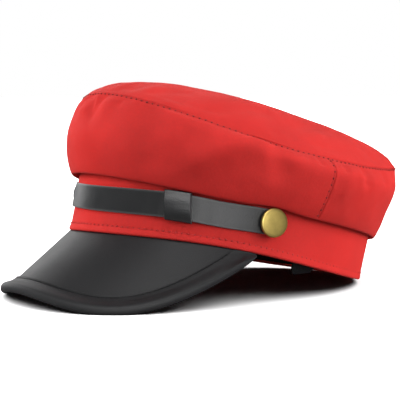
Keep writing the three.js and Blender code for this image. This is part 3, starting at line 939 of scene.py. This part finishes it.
class CAP_OT_crown(bpy.types.Operator):
    """Sew the crown's side panels and its top panel"""

    bl_idname = "cap.build_crown"
    bl_label = "Crown"

    def execute(self, context):
        panels = (
            ("crown_side_front", -SIDE_SEAM, SIDE_SEAM, True),
            ("crown_side_back", SIDE_SEAM, TURN - SIDE_SEAM, False),
        )
        for node, start, end, stitched in panels:
            outer, normal, tone, lines = side_face(start, end, stitched)
            add_piece(node, "red_cotton", cloth_wall(outer, normal), tone=wall_tone(tone))
            STITCH_LINES["crown_stitches"] += lines
        loops, tone = self.top_loops(context.scene.cap_sizes)
        add_piece("crown_top", "red_cotton", loops, True, wall_tone(tone), self.top_flat(loops))
        return {"FINISHED"}

    def top_loops(self, sizes):
        angles = np.linspace(0, TURN, COLUMNS["top"], endpoint=False)
        angle, share = np.meshgrid(angles, TOP_SHARES, indexing="ij")
        base = top_base(angle, share)
        normal = top_normal(angle, share)
        normal = unit(mix(normal, seam_normal(angle), ease(share, MITRE["top_share"], 1)[..., None]))
        from_seam = along_curve(base[:, ::-1])[:, ::-1]
        folded = fade(share, TOP_FADE)
        height = top_folds(angle, share) * folded + creases(TOP_CREASES, top_spot, angle, share) * folded
        height = height + sizes.unevenness / MM * mixed_hills(base, TOP_HILLS)
        height = height + sizes.pucker / MM * by_seam(from_seam, PUCKER) * seam_puckers(angle, 11)
        seam = top_groove(angle, from_seam)
        height = height - SEAM["depth"] * seam - seam_sink(angle, from_seam)
        outer = base + normal * height[..., None]
        # Painted shade in the seam's groove, and painted light and shade on the folds
        return cloth_wall(outer, normal), -SEAM["shade"] * seam + PAINTED_FOLD_LIGHT_AND_SHADE * height

    def top_flat(self, loops):
        """The top panel is cut flat, so its spots are the plan's."""
        closed = np.concatenate([loops, loops[:1]], axis=0)
        return np.concatenate([closed, closed[:, :1]], axis=1)[..., :2]


def hem_shows(angle):
    """How plainly the hem's sewn line shows, which sinks into the cloth towards the back."""
    return 1 - ease(mirrored_turn(angle), HEM_STITCH["fading"], HEM_STITCH["gone"])


def band_face(angle, z):
    """Distance of the band's outer face from its plain oval, with the hem's fold and its sewn line."""
    above = z - band_edge(angle)
    hem_out = mix(HEM_OUT["back"], HEM_OUT["front"], (1 + np.cos(angle)) / 2)
    stand = hem_out * (1 - ease(above, 0, BAND["hem_height"]))
    puff = HEM_STITCH["puff"] * bell(above - HEM_STITCH["height"] / 2, HEM_STITCH["height"] / 2.4)
    sewn = HEM_STITCH["depth"] * hem_shows(angle) * bell(above - HEM_STITCH["height"], HEM_STITCH["width"])
    places = band_point(angle, z, 0)
    soft = BAND_HILLS["height"] * hills(places, BAND_HILLS["size"], 21)
    drawn_up = places * np.array([1, 1, HEM_RIPPLES["upright"]])
    ripples = HEM_RIPPLES["height"] * hills(drawn_up, HEM_RIPPLES["size"], 22)
    soft = soft + ripples * bell(above, HEM_RIPPLES["reach"])
    strap_top = band_line(angle) + STRAP["centre_height"] + STRAP["width"] / 2
    over_strap = bell(z - strap_top - BAND_BULGE["above_strap"], BAND_BULGE["width"])
    flat = ease(mirrored_turn(angle), BAND_BULGE["fading"], BAND_BULGE["gone"])
    bulge = BAND_BULGE["height"] * over_strap * (1 - flat)
    return stand + puff - sewn + soft + bulge


class CAP_OT_band(bpy.types.Operator):
    """Sew the band, and the tape and tab inside it"""

    bl_idname = "cap.build_band"
    bl_label = "Band"

    def execute(self, context):
        self.band()
        self.sweatband()
        self.size_tab()
        return {"FINISHED"}

    def band(self):
        angles = np.linspace(math.pi, math.pi + TURN, COLUMNS["band"], endpoint=False)[:, None]
        edge, top = band_edge(angles), band_top(angles)
        fold = BAND["wall"] / 2
        hem_top = HEM_STITCH["height"] + 3
        upper = mix(edge + hem_top, top, dense((0, 1, 14))[1:])
        outer_z = np.concatenate([edge + mix(fold, hem_top, dense((0, 1, 22))), upper], axis=1)
        inner_z = mix(top, edge + fold, dense((0, 1, 14)))
        turns = np.linspace(math.pi, TURN, 10)[1:-1]
        hem_z = edge + fold + fold * np.sin(turns)
        face = band_face(angles, outer_z)
        centre, half = (face[:, :1] - BAND["wall"]) / 2, (face[:, :1] + BAND["wall"]) / 2
        outs = (face, -BAND["wall"], centre + half * np.cos(turns))
        heights = (outer_z, inner_z, hem_z)
        loops = np.concatenate([band_point(angles, z, out) for z, out in zip(heights, outs)], axis=1)
        above = np.concatenate(heights, axis=1) - edge
        on_face = np.repeat([1.0, 0.0, 1.0], [z.shape[1] for z in heights])
        sewn_line = bell(above - HEM_STITCH["height"], HEM_STITCH["width"]) * on_face
        # Lighter along the hem's folded lower edge, and painted shade along its sewn groove
        tone = HEM_FOLD_LIGHTER["tone"] * bell(above, HEM_FOLD_LIGHTER["width"]) * on_face
        tone = tone - HEM_STITCH["tone"] * sewn_line * hem_shows(angles)
        add_piece("band", "red_cotton", loops, True, tone)
        round_way = np.append(angles, angles[0] + TURN)
        stitch_z = band_edge(round_way) + HEM_STITCH["height"]
        sunk = HEM_STITCH["sunk"] * (1 - hem_shows(round_way))
        line = band_point(round_way, stitch_z, band_face(round_way, stitch_z) - sunk)
        STITCH_LINES["band_stitches"].append(line)

    def sweatband(self):
        angles = np.linspace(math.pi, math.pi + TURN, COLUMNS["sweatband"], endpoint=False)[:, None]
        low, high = sweatband_span(angles)
        half = SWEATBAND["wall"] / 2
        turns = np.linspace(0, math.pi, 6)[1:-1]
        face_z = mix(low + half, high - half, dense((0, 1, 10)))
        middle = (SWEATBAND_OUTER + SWEATBAND_INNER) / 2
        columns = (
            (face_z, SWEATBAND_OUTER),
            (high - half + half * np.sin(turns), middle + half * np.cos(turns)),
            (face_z[:, ::-1], SWEATBAND_INNER),
            (low + half - half * np.sin(turns), middle - half * np.cos(turns)),
        )
        loops = np.concatenate([band_point(angles, z, out) for z, out in columns], axis=1)
        add_piece("sweatband", "black_lining", loops, True)

    def size_tab(self):
        outer = SWEATBAND_INNER - GAP
        inner = outer - SIZE_TAB["thickness"]
        half, bevel, soft = SIZE_TAB["width"] / 2, SIZE_TAB["bevel"], SIZE_TAB["soft"]
        across = dense((-half, half, 30))
        angles = SIZE_TAB["angle"] + across / BAND["half_width"]
        corner = np.clip(np.abs(across) - (half - bevel), 0, bevel)
        raised = bevel - np.sqrt(bevel**2 - corner**2)
        level = tipped(band_point(angles, 0.0, outer))[:, 2] + PLACE[2] - SIZE_TAB["tip_height"]
        low = raised - level / math.cos(REST_TILT)
        high = band_edge(SIZE_TAB["angle"]) + SIZE_TAB["above"]
        face_z = mix(low[:, None] + soft, high - soft, dense((0, 1, 8))).T
        columns = [(low, outer - soft)]
        columns += [(z, outer) for z in face_z]
        columns += [(high, outer - soft), (high, inner + soft)]
        columns += [(z, inner) for z in face_z[::-1]]
        columns += [(low, inner + soft)]
        loops = np.stack([band_point(angles, z, out) for z, out in columns], axis=1)
        add_piece("size_tab", "black_lining", loops)


def peak_turn(along):
    return np.sign(along) * (math.pi / 2) * (1 - (1 - np.abs(along)) ** PEAK["step_power"])


def peak_edge(along):
    turn = peak_turn(along)
    ahead = np.maximum(np.cos(turn), 0)
    aside = np.sin(turn)
    y = -PEAK["end_reach"] - (PEAK["front_reach"] - PEAK["end_reach"]) * ahead ** PEAK["plan_power"]
    drop = PEAK["end_drop"] + PEAK["fall"] * ahead ** PEAK["fall_power"] + PEAK["cheek"] * aside**2 * ahead
    return stack(PEAK["half_width"] * aside, y, -drop)


def peak_root(along, out):
    angle = PEAK["half_span"] * peak_turn(along) / (math.pi / 2)
    return band_point(angle, band_edge(angle) - GAP, out)


def peak_size(along):
    reach = np.linalg.norm(peak_edge(along) - peak_root(along, PEAK["root_out"]), axis=-1)
    return np.minimum(reach / PEAK["taper_reach"], 1)


def peak_thickness(along):
    return mix(PEAK["root_thickness"], PEAK["edge_thickness"], np.abs(along)) * peak_size(along)


def channel_half(size):
    return size * PEAK["edge_thickness"] / 2 + GAP


def binding_half(size):
    return channel_half(size) + size * BINDING["leather"]


def peak_frame(along, step=1e-3):
    """Middle of the binding's fold, ways out and up there, way to the root, and the section's size."""
    edge = peak_edge(along)
    inside = np.clip(along, step - 1, 1 - step)
    tangent = unit(peak_edge(inside + step) - peak_edge(inside - step))
    root = peak_root(along, PEAK["root_out"] - peak_thickness(along) / 2)
    seam = root + np.array([0, 0, PEAK["seam_depth"]])
    upper = unit(np.cross(edge - seam, tangent))
    outward = unit(np.cross(tangent, upper))
    size = peak_size(along)
    centre = edge - outward * binding_half(size)[:, None]
    return centre, outward, upper, root - centre, size


class CAP_OT_peak(bpy.types.Operator):
    """Shape the peak and fold the binding round its edge"""

    bl_idname = "cap.build_peak"
    bl_label = "Peak"

    def execute(self, context):
        along = np.linspace(-1, 1, COLUMNS["peak"])
        self.peak(along)
        self.binding(along)
        return {"FINISHED"}

    def peak(self, along):
        centre, _, upper, _, size = peak_frame(along)
        levels = dense((0, 1, 36))
        half = (size * PEAK["edge_thickness"] / 2)[:, None]
        softness = PEAK_HILLS["height"] * fade(levels, PEAK_HILLS["fade"])
        faces = []
        for side, thickness in ((1, 0), (-1, peak_thickness(along))):
            root = peak_root(along, PEAK["root_out"] - thickness)[:, None]
            end = (centre + side * half * upper)[:, None]
            face = mix(root, end, levels[None, :, None])
            rise = softness * hills(face, PEAK_HILLS["size"], 31) * size[:, None]
            faces.append(face + rise[..., None] * upper[:, None])
        outer_tongue, inner_tongue = self.tongue(along, size)
        loops = np.concatenate([outer_tongue, faces[0], faces[1][:, ::-1], inner_tongue], axis=1)
        add_piece("peak", "peak_leatherette", loops)

    def tongue(self, along, size):
        """Both faces of the tongue that stands up from the peak's root behind the band's hem."""
        rise = np.array([0, 0, PEAK_TONGUE["height"]]) * size[:, None]
        drop = np.array([0, 0, PEAK_TONGUE["drop"]]) * size[:, None]
        outer = peak_root(along, mix(PEAK["root_out"], PEAK_TONGUE["outer"], size))
        inner = peak_root(along, mix(PEAK["root_out"], PEAK_TONGUE["inner"], size))
        return np.stack([outer + rise, outer], axis=1), np.stack([inner - drop, inner + rise], axis=1)

    def binding(self, along):
        centre, outward, upper, inward, size = peak_frame(along)
        depth = np.maximum(-np.sum(inward * outward, axis=-1), GAP)
        natural = (BINDING["width"] - binding_half(size)) / depth
        lip_share = np.minimum(natural, BINDING["most_of_reach"])
        shows = 1 - ease(natural, BINDING_STITCH["fading"], 1)
        lip_length = lip_share * np.linalg.norm(inward, axis=-1)
        outer_half, inner_half = binding_half(size), channel_half(size)

        def at(way, across, above):
            return centre + way * across[:, None] + upper * above[:, None]

        def groove(share):
            return bell(lip_length * share - BINDING_STITCH["beside"], BINDING_STITCH["width"])

        roll = BINDING["roll"] * size
        bead = BINDING["bead"] * size
        tucked = outward * (outer_half - bead)[:, None]

        def lip_outer(share, side):
            rolled = 0
            if side > 0:
                started = max(share - BINDING["roll_from"], 0) / (1 - BINDING["roll_from"])
                late = ease(share, BINDING["late_from"], 1)
                rolling = mix(math.sin(started * math.pi / 2), late, BINDING["late_share"])
                rolled = roll * rolling - BINDING["dip"] * size * (1 - rolling)
            sewn = BINDING_STITCH["depth"] * groove(share) * size * shows
            height = side * (outer_half - sewn + rolled)
            return at(inward, lip_share * (1 - share), height) + tucked * share

        def lip_end(turn, side):
            middle, half = (outer_half + inner_half) / 2, (outer_half - inner_half) / 2
            beyond = lip_share + half * np.sin(turn) / np.linalg.norm(inward, axis=-1)
            return at(inward, beyond, side * (middle + half * np.cos(turn)))

        def fold(turn, reach, half, roll):
            return at(outward, reach * np.cos(turn), half * np.sin(turn) + roll * (1 + np.sin(turn)) / 2)

        shares = dense((0, 0.3, 14), (0.3, 1, 10))
        fold_turns = np.linspace(math.pi / 2, -math.pi / 2, 13)[1:-1]
        end_turns = np.linspace(0, math.pi, 6)[1:-1]
        outer = [lip_outer(share, 1) for share in shares]
        outer += [fold(turn, bead, outer_half, roll) + tucked for turn in fold_turns]
        outer += [lip_outer(share, -1) for share in shares[::-1]]
        inner = [at(inward, lip_share * (1 - share), inner_half) for share in shares]
        inner += [fold(turn, inner_half, inner_half, 0) for turn in fold_turns]
        inner += [at(inward, lip_share * (1 - share), -inner_half) for share in shares[::-1]]
        rounded_top = [lip_end(turn, 1) for turn in end_turns]
        rounded_low = [lip_end(turn, -1) for turn in end_turns]
        halves = len(rounded_top) // 2
        first = rounded_top[:halves][::-1] + outer + rounded_low[:halves]
        second = rounded_top[halves:] + inner + rounded_low[halves:][::-1]
        loops = np.stack(first + second[::-1], axis=1)
        # Painted shade along the stitch groove
        painted_groove_shade = [-BINDING_STITCH["tone"] * shows * groove(share) for share in shares]
        plain = 0 * size
        # Painted highlight along the binding's bead
        painted_bead_highlight = [plain + BINDING["edge_lightening"]] * len(fold_turns)
        first_tone = [plain] * halves + painted_groove_shade + painted_bead_highlight + painted_groove_shade[::-1] + [plain] * halves
        tone = np.stack(first_tone + [plain] * len(second), axis=1)
        add_piece("peak_binding", "peak_leatherette", loops, tone=tone)
        sewn_share = BINDING_STITCH["beside"] / lip_length
        kept = natural < BINDING_STITCH["last"]
        for side in (1, -1):
            lowered = BINDING_STITCH["depth"] + (BINDING["dip"] if side > 0 else 0)
            line = at(inward, lip_share * (1 - sewn_share), side * (outer_half - lowered * size))
            STITCH_LINES["peak_stitches"].append(line[kept])


def strap_point(angle, up, out):
    sag = STRAP_SAG["depth"] * bell(mirrored_turn(angle) - STRAP_SAG["angle"], STRAP_SAG["half_angle"])
    return band_point(angle, band_line(angle) + STRAP["centre_height"] - sag + up, out)


def strap_lift(angle):
    keeper = np.where(angle > 0, KEEPER_ANGLES["keeper_left"], KEEPER_ANGLES["keeper_right"])
    from_keeper = np.abs(angle - keeper) * band_arc(keeper)
    beside = KEEPER["width"] / 2 + KEEPER["lead"]
    return mix(KEEPER_LIFT, STRAP["lift"], ease(from_keeper, beside, beside + STRAP["ramp"]))


class CAP_OT_strap(bpy.types.Operator):
    """Lay the strap over the band and put its loops on"""

    bl_idname = "cap.build_strap"
    bl_label = "Strap"

    def execute(self, context):
        self.strap()
        for name, angle in KEEPER_ANGLES.items():
            self.keeper(name, angle)
        return {"FINISHED"}

    def strap(self):
        half_width = STRAP["width"] / 2
        arc = band_arc(BUTTON_ANGLE)
        ends = BUTTON_ANGLE + np.sin(np.linspace(0, math.pi / 2, 14)[1:-1]) * half_width / arc
        straight = np.linspace(-BUTTON_ANGLE, BUTTON_ANGLE, COLUMNS["strap"])
        angles = np.concatenate([-ends[::-1], straight, ends])
        past = np.maximum((np.abs(angles) - BUTTON_ANGLE) * arc, 0)
        half = np.sqrt(half_width**2 - past**2)
        back = strap_lift(angles)
        front = back + STRAP["thickness"]
        corner = STRAP["corner"]
        turns = np.linspace(0, math.pi / 2, 5)
        shares = np.linspace(-1, 1, 15)

        def rounded(side, face, way):
            """Places round a corner, from a face to the edge."""
            ups = [side * (half - corner * (1 - np.sin(turn))) for turn in turns]
            return [(up, face + way * corner * (1 - np.cos(turn))) for up, turn in zip(ups, turns)]

        places = [(share * (half - corner), front) for share in shares]
        places += rounded(1, front, -1)[1:] + rounded(1, back, 1)[::-1][1:]
        places += [(share * (half - corner), back) for share in shares[::-1][1:]]
        places += rounded(-1, back, 1)[1:] + rounded(-1, front, -1)[::-1][1:-1]
        loops = np.stack([strap_point(angles, up, out) for up, out in places], axis=1)
        # Painted highlight and wear along both edges of the strap
        lightened = [ease(np.abs(up) - half, STRAP_EDGE_SHEEN_AND_WEAR["start"], STRAP_EDGE_SHEEN_AND_WEAR["full"]) for up, out in places]
        tone = STRAP_EDGE_SHEEN_AND_WEAR["tone"] * np.stack(lightened, axis=1)
        add_piece("strap", "strap_leatherette", loops, tone=tone)

    def outline(self, back, front, half, corner, dome):
        """Outline of a loop as seen along the strap, as places out from the band and up."""
        turns = np.linspace(0, math.pi / 2, 6)
        lower = [(front - corner * (1 - math.sin(t)), -half + corner * (1 - math.cos(t))) for t in turns]
        shares = np.linspace(-1, 1, 19)[1:-1]
        face = [(front + dome * (1 - share**2), share * (half - corner)) for share in shares]
        upper = [(out, -up) for out, up in reversed(lower)]
        behind = [(back, share * half) for share in np.linspace(1, -1, 9)]
        return np.array(lower + face + upper + behind)

    def keeper(self, name, middle):
        back = KEEPER_LIFT - GAP
        strap_front = KEEPER_LIFT + STRAP["thickness"]
        half = STRAP["width"] / 2 + GAP
        wall = KEEPER["leather"]
        front = strap_front + GAP + wall
        inner = self.outline(back, strap_front + KEEPER["slack"], half, KEEPER["lining"], 0)
        outer = self.outline(back - wall, front, half + wall, KEEPER["corner"], KEEPER["dome"])
        arc = band_arc(middle)
        lean = math.copysign(KEEPER["lean"], middle) / arc
        half_width = KEEPER["width"] / 2
        edge = KEEPER["edge"]
        level = half_width - 2 * edge
        across = dense((-half_width, -level, 5), (-level, level, 12), (level, half_width, 5))
        bevel = edge * (1 - np.sqrt(1 - ease(np.abs(across), level, half_width) ** 2))

        def face(places, toward, sink):
            share = sink[None, :, None] / wall
            spots = mix(places[:, None], toward[:, None], share)
            out, up = spots[..., 0], spots[..., 1]
            return strap_point(middle + across[None, :] / arc - lean * up, up, out)

        loops = np.concatenate([face(outer, inner, bevel), face(inner, outer, 0 * bevel)[:, ::-1]], axis=1)
        # The loop's outer face is lighter towards its bevelled ends
        lightened = np.concatenate([KEEPER["edge_lightening"] * bevel / edge, 0 * bevel])
        tone = np.broadcast_to(lightened, loops.shape[:2])
        add_piece(name, "strap_leatherette", loops, True, tone)


class CAP_OT_buttons(bpy.types.Operator):
    """Turn the two brass buttons"""

    bl_idname = "cap.build_buttons"
    bl_label = "Buttons"

    def execute(self, context):
        face = between(np.array(BUTTON_FACE), dense((0, len(BUTTON_FACE) - 1, 56)))
        face[-1, 0] = 0
        profile = np.concatenate([np.array(BUTTON_SHANK), face])
        turns = np.linspace(0, TURN, COLUMNS["button"], endpoint=False)
        # Rim lighter from polish and painted highlight, groove darker from tarnish
        rim = bell(profile[:, 0] - BUTTON_TONE["rim"], BUTTON_TONE["rim_width"])
        groove = bell(profile[:, 0] - BUTTON_TONE["groove"], BUTTON_TONE["groove_width"])
        painted_light_and_wear = BUTTON_TONE["share"] * (rim - groove) * (profile[:, 1] > BUTTON_TONE["above"])
        across = math.sin(BUTTON_ANGLE) / BAND["half_width"]
        ahead = math.cos(BUTTON_ANGLE) / BAND["half_length"]
        for name, side in BUTTON_SIDES.items():
            facing = unit(np.array([side * across, -ahead, 0]))
            aside = np.array([-facing[1], facing[0], 0])
            up = np.array([0, 0, 1.0])
            seat = strap_point(side * BUTTON_ANGLE, 0, STRAP["lift"] + STRAP["thickness"] + GAP)
            radius, height = profile[None, :, 0, None], profile[None, :, 1, None]
            spoke = np.cos(turns)[:, None, None] * aside + np.sin(turns)[:, None, None] * up
            loops = seat + radius * spoke + height * facing
            add_piece(name, "aged_brass", loops, True, np.broadcast_to(painted_light_and_wear, loops.shape[:2]))
        return {"FINISHED"}


def stitch_tree():
    """Geometry nodes that lay stitches along lines, with dark beads of painted shade for the needle holes
    between them.

    Returns the tree and the identifiers of its inputs.
    """
    tree = bpy.data.node_groups.new("stitch_rows", "GeometryNodeTree")
    sockets = {}
    inputs = dict(Lines="Geometry", Pitch="Float", Length="Float", Thickness="Float", Hole="Float")
    for name, kind in dict(inputs, Thread="Material", HoleShade="Material").items():
        socket = tree.interface.new_socket(name, in_out="INPUT", socket_type="NodeSocket" + kind)
        sockets[name] = socket.identifier
    tree.interface.new_socket("Stitches", in_out="OUTPUT", socket_type="NodeSocketGeometry")

    def node(kind, settings=None, inputs=None):
        outputs = add_node(tree, kind, settings, inputs).outputs
        return next(socket for socket in outputs if socket.enabled)

    given = tree.nodes.new("NodeGroupInput").outputs
    line = node("GeometryNodeMeshToCurve", inputs={"Mesh": given["Lines"]})
    half_pitch = node("ShaderNodeMath", dict(operation="MULTIPLY"), {0: given["Pitch"], 1: 0.5})
    length = node("GeometryNodeSplineLength")
    end = node("ShaderNodeMath", dict(operation="SUBTRACT"), {0: length, 1: half_pitch})
    cut = {"Curve": line, "Start": half_pitch, "End": end}
    inset = node("GeometryNodeTrimCurve", dict(mode="LENGTH"), cut)
    uneven = node("FunctionNodeRandomValue", dict(data_type="FLOAT"), {"Min": 0.85, "Max": 1.15, "Seed": 4})
    bead = node("GeometryNodeMeshUVSphere", inputs={"Segments": 8, "Rings": 6, "Radius": 0.5})

    def row(curve, thickness, length, finish):
        spacing = {"Curve": curve, "Length": given["Pitch"]}
        spaced = add_node(tree, "GeometryNodeCurveToPoints", dict(mode="LENGTH"), spacing)
        size = node("ShaderNodeCombineXYZ", inputs={"X": thickness, "Y": thickness, "Z": length})
        scale = node("ShaderNodeVectorMath", dict(operation="SCALE"), {"Vector": size, "Scale": uneven})
        spots = {name: spaced.outputs[name] for name in ("Points", "Rotation")}
        laid = node("GeometryNodeInstanceOnPoints", inputs={**spots, "Instance": bead, "Scale": scale})
        real = node("GeometryNodeRealizeInstances", inputs={"Geometry": laid})
        smooth = node("GeometryNodeSetShadeSmooth", inputs={"Geometry": real})
        return node("GeometryNodeSetMaterial", inputs={"Geometry": smooth, "Material": finish})

    stitches = row(line, given["Thickness"], given["Length"], given["Thread"])
    holes = row(inset, given["Hole"], given["Hole"], given["HoleShade"])
    joined = tree.nodes.new("GeometryNodeJoinGeometry")
    tree.links.new(stitches, joined.inputs["Geometry"])
    tree.links.new(holes, joined.inputs["Geometry"])
    done = tree.nodes.new("NodeGroupOutput")
    tree.links.new(joined.outputs["Geometry"], done.inputs["Stitches"])
    return tree, sockets


class CAP_OT_stitches(bpy.types.Operator):
    """Sew the rows of stitches that show"""

    bl_idname = "cap.sew_stitches"
    bl_label = "Stitches"

    def execute(self, context):
        tree, sockets = stitch_tree()
        sizes = context.scene.cap_sizes
        common = dict(
            Length=sizes.stitch_length,
            Thickness=sizes.thread,
            Pitch=sizes.stitch_pitch,
            Hole=sizes.needle_hole_shade,
        )
        rows = (
            ("crown_stitches", "red_thread", "needle_hole_shade", "red_cotton"),
            ("band_stitches", "red_thread", "hem_hole_shade", "red_cotton"),
            ("peak_stitches", "black_thread", "black_thread", "peak_leatherette"),
        )
        for name, thread, hole_shade, slot in rows:
            if not STITCH_LINES[name]:
                raise RuntimeError(name + " has no lines to follow, so build the cap's pieces first")
            lines = bpy.data.meshes.new(name + "_lines")
            points, edges = [], []
            for line in STITCH_LINES[name]:
                first = len(points)
                points += settled(line).tolist()
                edges += [(i, i + 1) for i in range(first, len(points) - 1)]
            lines.from_pydata(points, edges, [])
            piece = added(name, lines)
            sewing = piece.modifiers.new("Sewing", "NODES")
            sewing.node_group = tree
            for key, value in dict(common, Thread=material(thread), HoleShade=material(hole_shade)).items():
                sewing[sockets[key]] = value
            sewn = piece.evaluated_get(context.evaluated_depsgraph_get())
            mesh = bpy.data.meshes.new_from_object(sewn)
            piece.modifiers.remove(sewing)
            piece.data = mesh
            if not mesh.polygons:
                raise RuntimeError(name + " came out empty")
            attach(piece, BODY)
        return {"FINISHED"}


# Far soft lights: ways to the right, towards the camera and up, strength, width in degrees, and whether
# each one lights matt cloth and whether it shows in gloss
LIGHTS = dict(
    front_high=(0.0, 0.6, 0.8, 1.8, 34, False, True),
    left_high=(-0.8, 0.2, 0.9, 0.1, 60, True, True),
    front_fill=(0.1, 0.8, 0.5, 0.62, 60, True, False),
    left_low=(-1.0, 0.05, 0.27, 5.6, 80, True, False),
    left_back=(-0.5, -0.75, 0.42, 1.4, 48, False, True),
    right_low=(1.0, 0.1, 0.16, 7.2, 80, True, False),
)
OVERHEAD_WIDTH = 125
CARD = dict(right=0.42, toward=1.53, up=0.22, width=1.4, height=0.5, strength=6.0)


def far_light(name, way, strength, width):
    """Sun lamp that shines from a way, softened by its width in degrees."""
    lamp = bpy.data.lights.new(name, "SUN")
    lamp.energy = strength
    lamp.angle = math.radians(width)
    light = added(name, lamp)
    light.rotation_euler = (-way).to_track_quat("-Z", "Y").to_euler()
    return light


class CAP_OT_studio(bpy.types.Operator):
    """Set the floor, the lights and the camera"""

    bl_idname = "cap.set_studio"
    bl_label = "Studio"

    def execute(self, context):
        studio = context.scene.cap_studio
        context.scene.view_settings.view_transform = "Standard"
        self.floor()
        self.sky(context.scene, studio)
        self.lights(studio)
        self.camera(context.scene, studio)
        return {"FINISHED"}

    def floor(self):
        half = 20.0
        mesh = bpy.data.meshes.new("floor")
        corners = ((-half, -half, 0), (half, -half, 0), (half, half, 0), (-half, half, 0))
        mesh.from_pydata(corners, [], [(0, 1, 2, 3)])
        floor = added("floor", mesh)
        finish = Finish("pale_floor", {"Specular IOR Level": 0.0, "Roughness": 0.8})
        seen = finish.node("ShaderNodeLightPath", output="Is Camera Ray")
        finish.feed("Base Color", finish.blend(seen, (0.1, 0.1, 0.1), (0.92, 0.92, 0.92)))
        mesh.materials.append(finish.material)

    def sky(self, scene, studio):
        world = bpy.data.worlds.new("studio")
        world.use_nodes = True
        tree = world.node_tree
        even = tree.nodes["Background"]
        even.inputs["Strength"].default_value = studio.sky
        even.inputs["Color"].default_value = (1, 1, 1, 1)
        white = add_node(tree, "ShaderNodeBackground", None, {"Color": (1, 1, 1, 1)})
        seen = add_node(tree, "ShaderNodeLightPath").outputs["Is Camera Ray"]
        skies = {0: seen, 1: even.outputs["Background"], 2: white.outputs["Background"]}
        chosen = add_node(tree, "ShaderNodeMixShader", None, skies)
        tree.links.new(chosen.outputs["Shader"], tree.nodes["World Output"].inputs["Surface"])
        scene.world = world

    def lights(self, studio):
        ahead, aside = math.cos(studio.azimuth), math.sin(studio.azimuth)
        ways = (Vector((ahead, aside, 0)), Vector((aside, -ahead, 0)), Vector((0, 0, 1)))

        def way(*shares):
            return sum((one * share for one, share in zip(ways, shares)), Vector())

        floor = bpy.data.objects["floor"]
        for name, (right, toward, up, strength, width, matt, gloss) in LIGHTS.items():
            light = far_light(name, way(right, toward, up), strength * studio.brightness, width)
            light.visible_diffuse, light.visible_glossy = matt, gloss
            self.shine_on(light, floor, "EXCLUDE")
        overhead = far_light("overhead", way(0, 0, 1), studio.overhead, OVERHEAD_WIDTH)
        self.shine_on(overhead, floor, "INCLUDE")
        lamp = bpy.data.lights.new("card", "AREA")
        lamp.shape = "RECTANGLE"
        lamp.size, lamp.size_y = CARD["width"], CARD["height"]
        lamp.energy = CARD["strength"] * math.pi * CARD["width"] * CARD["height"]
        card = added("card", lamp)
        aim = Vector((0, 0, 0.06))
        card.location = aim + way(CARD["right"], CARD["toward"], CARD["up"])
        card.rotation_euler = (aim - card.location).to_track_quat("-Z", "Y").to_euler()
        card.visible_camera = False
        card.visible_diffuse = False

    def shine_on(self, light, floor, state):
        """Lets a light reach the floor alone, or all but the floor."""
        reached = bpy.data.collections.new(light.name + "_reach")
        reached.objects.link(floor)
        reached.collection_objects[0].light_linking.link_state = state
        light.light_linking.receiver_collection = reached

    def camera(self, scene, studio):
        turn, rise = studio.azimuth, studio.elevation
        right = Vector((math.cos(turn), math.sin(turn), 0))
        up = Vector((-math.sin(turn) * math.sin(rise), math.cos(turn) * math.sin(rise), math.cos(rise)))
        back = right.cross(up)
        lens = bpy.data.cameras.new("camera")
        lens.sensor_width = SENSOR_WIDTH
        lens.lens = studio.focal_length
        camera = added("camera", lens)
        turned = Matrix((right, up, back)).transposed().to_4x4()
        aim = Vector(PLACE * MM) + Vector(studio.aim)
        camera.matrix_world = Matrix.Translation(aim + back * studio.distance) @ turned
        scene.camera = camera


BUILDERS = (
    CAP_OT_crown,
    CAP_OT_band,
    CAP_OT_peak,
    CAP_OT_strap,
    CAP_OT_buttons,
    CAP_OT_stitches,
    CAP_OT_studio,
)


class CAP_PT_panel(bpy.types.Panel):
    """Lists the cap's pieces, sizes and colours"""

    bl_idname = "CAP_PT_panel"
    bl_label = "Soft Peaked Cap"
    bl_space_type = "VIEW_3D"
    bl_region_type = "UI"
    bl_category = "Cap"

    def draw(self, context):
        column = self.layout.column()
        for builder in BUILDERS:
            column.operator(builder.bl_idname)
        for group in (context.scene.cap_sizes, context.scene.cap_colours, context.scene.cap_studio):
            box = self.layout.box()
            for name in group.__annotations__:
                box.prop(group, name)


GROUPS = dict(cap_sizes=CapSizes, cap_colours=CapColours, cap_studio=CapStudio)


def register():
    for group in GROUPS.values():
        bpy.utils.register_class(group)
    for name, group in GROUPS.items():
        setattr(bpy.types.Scene, name, bpy.props.PointerProperty(type=group))
    for builder in BUILDERS:
        bpy.utils.register_class(builder)
    bpy.utils.register_class(CAP_PT_panel)


def unregister():
    bpy.utils.unregister_class(CAP_PT_panel)
    for builder in reversed(BUILDERS):
        bpy.utils.unregister_class(builder)
    for name, group in GROUPS.items():
        delattr(bpy.types.Scene, name)
        bpy.utils.unregister_class(group)


def main():
    register()
    bpy.ops.cap.build_crown()
    bpy.ops.cap.build_band()
    bpy.ops.cap.build_peak()
    bpy.ops.cap.build_strap()
    bpy.ops.cap.build_buttons()
    bpy.ops.cap.sew_stitches()
    bpy.ops.cap.set_studio()


if __name__ == "__main__":
    main()
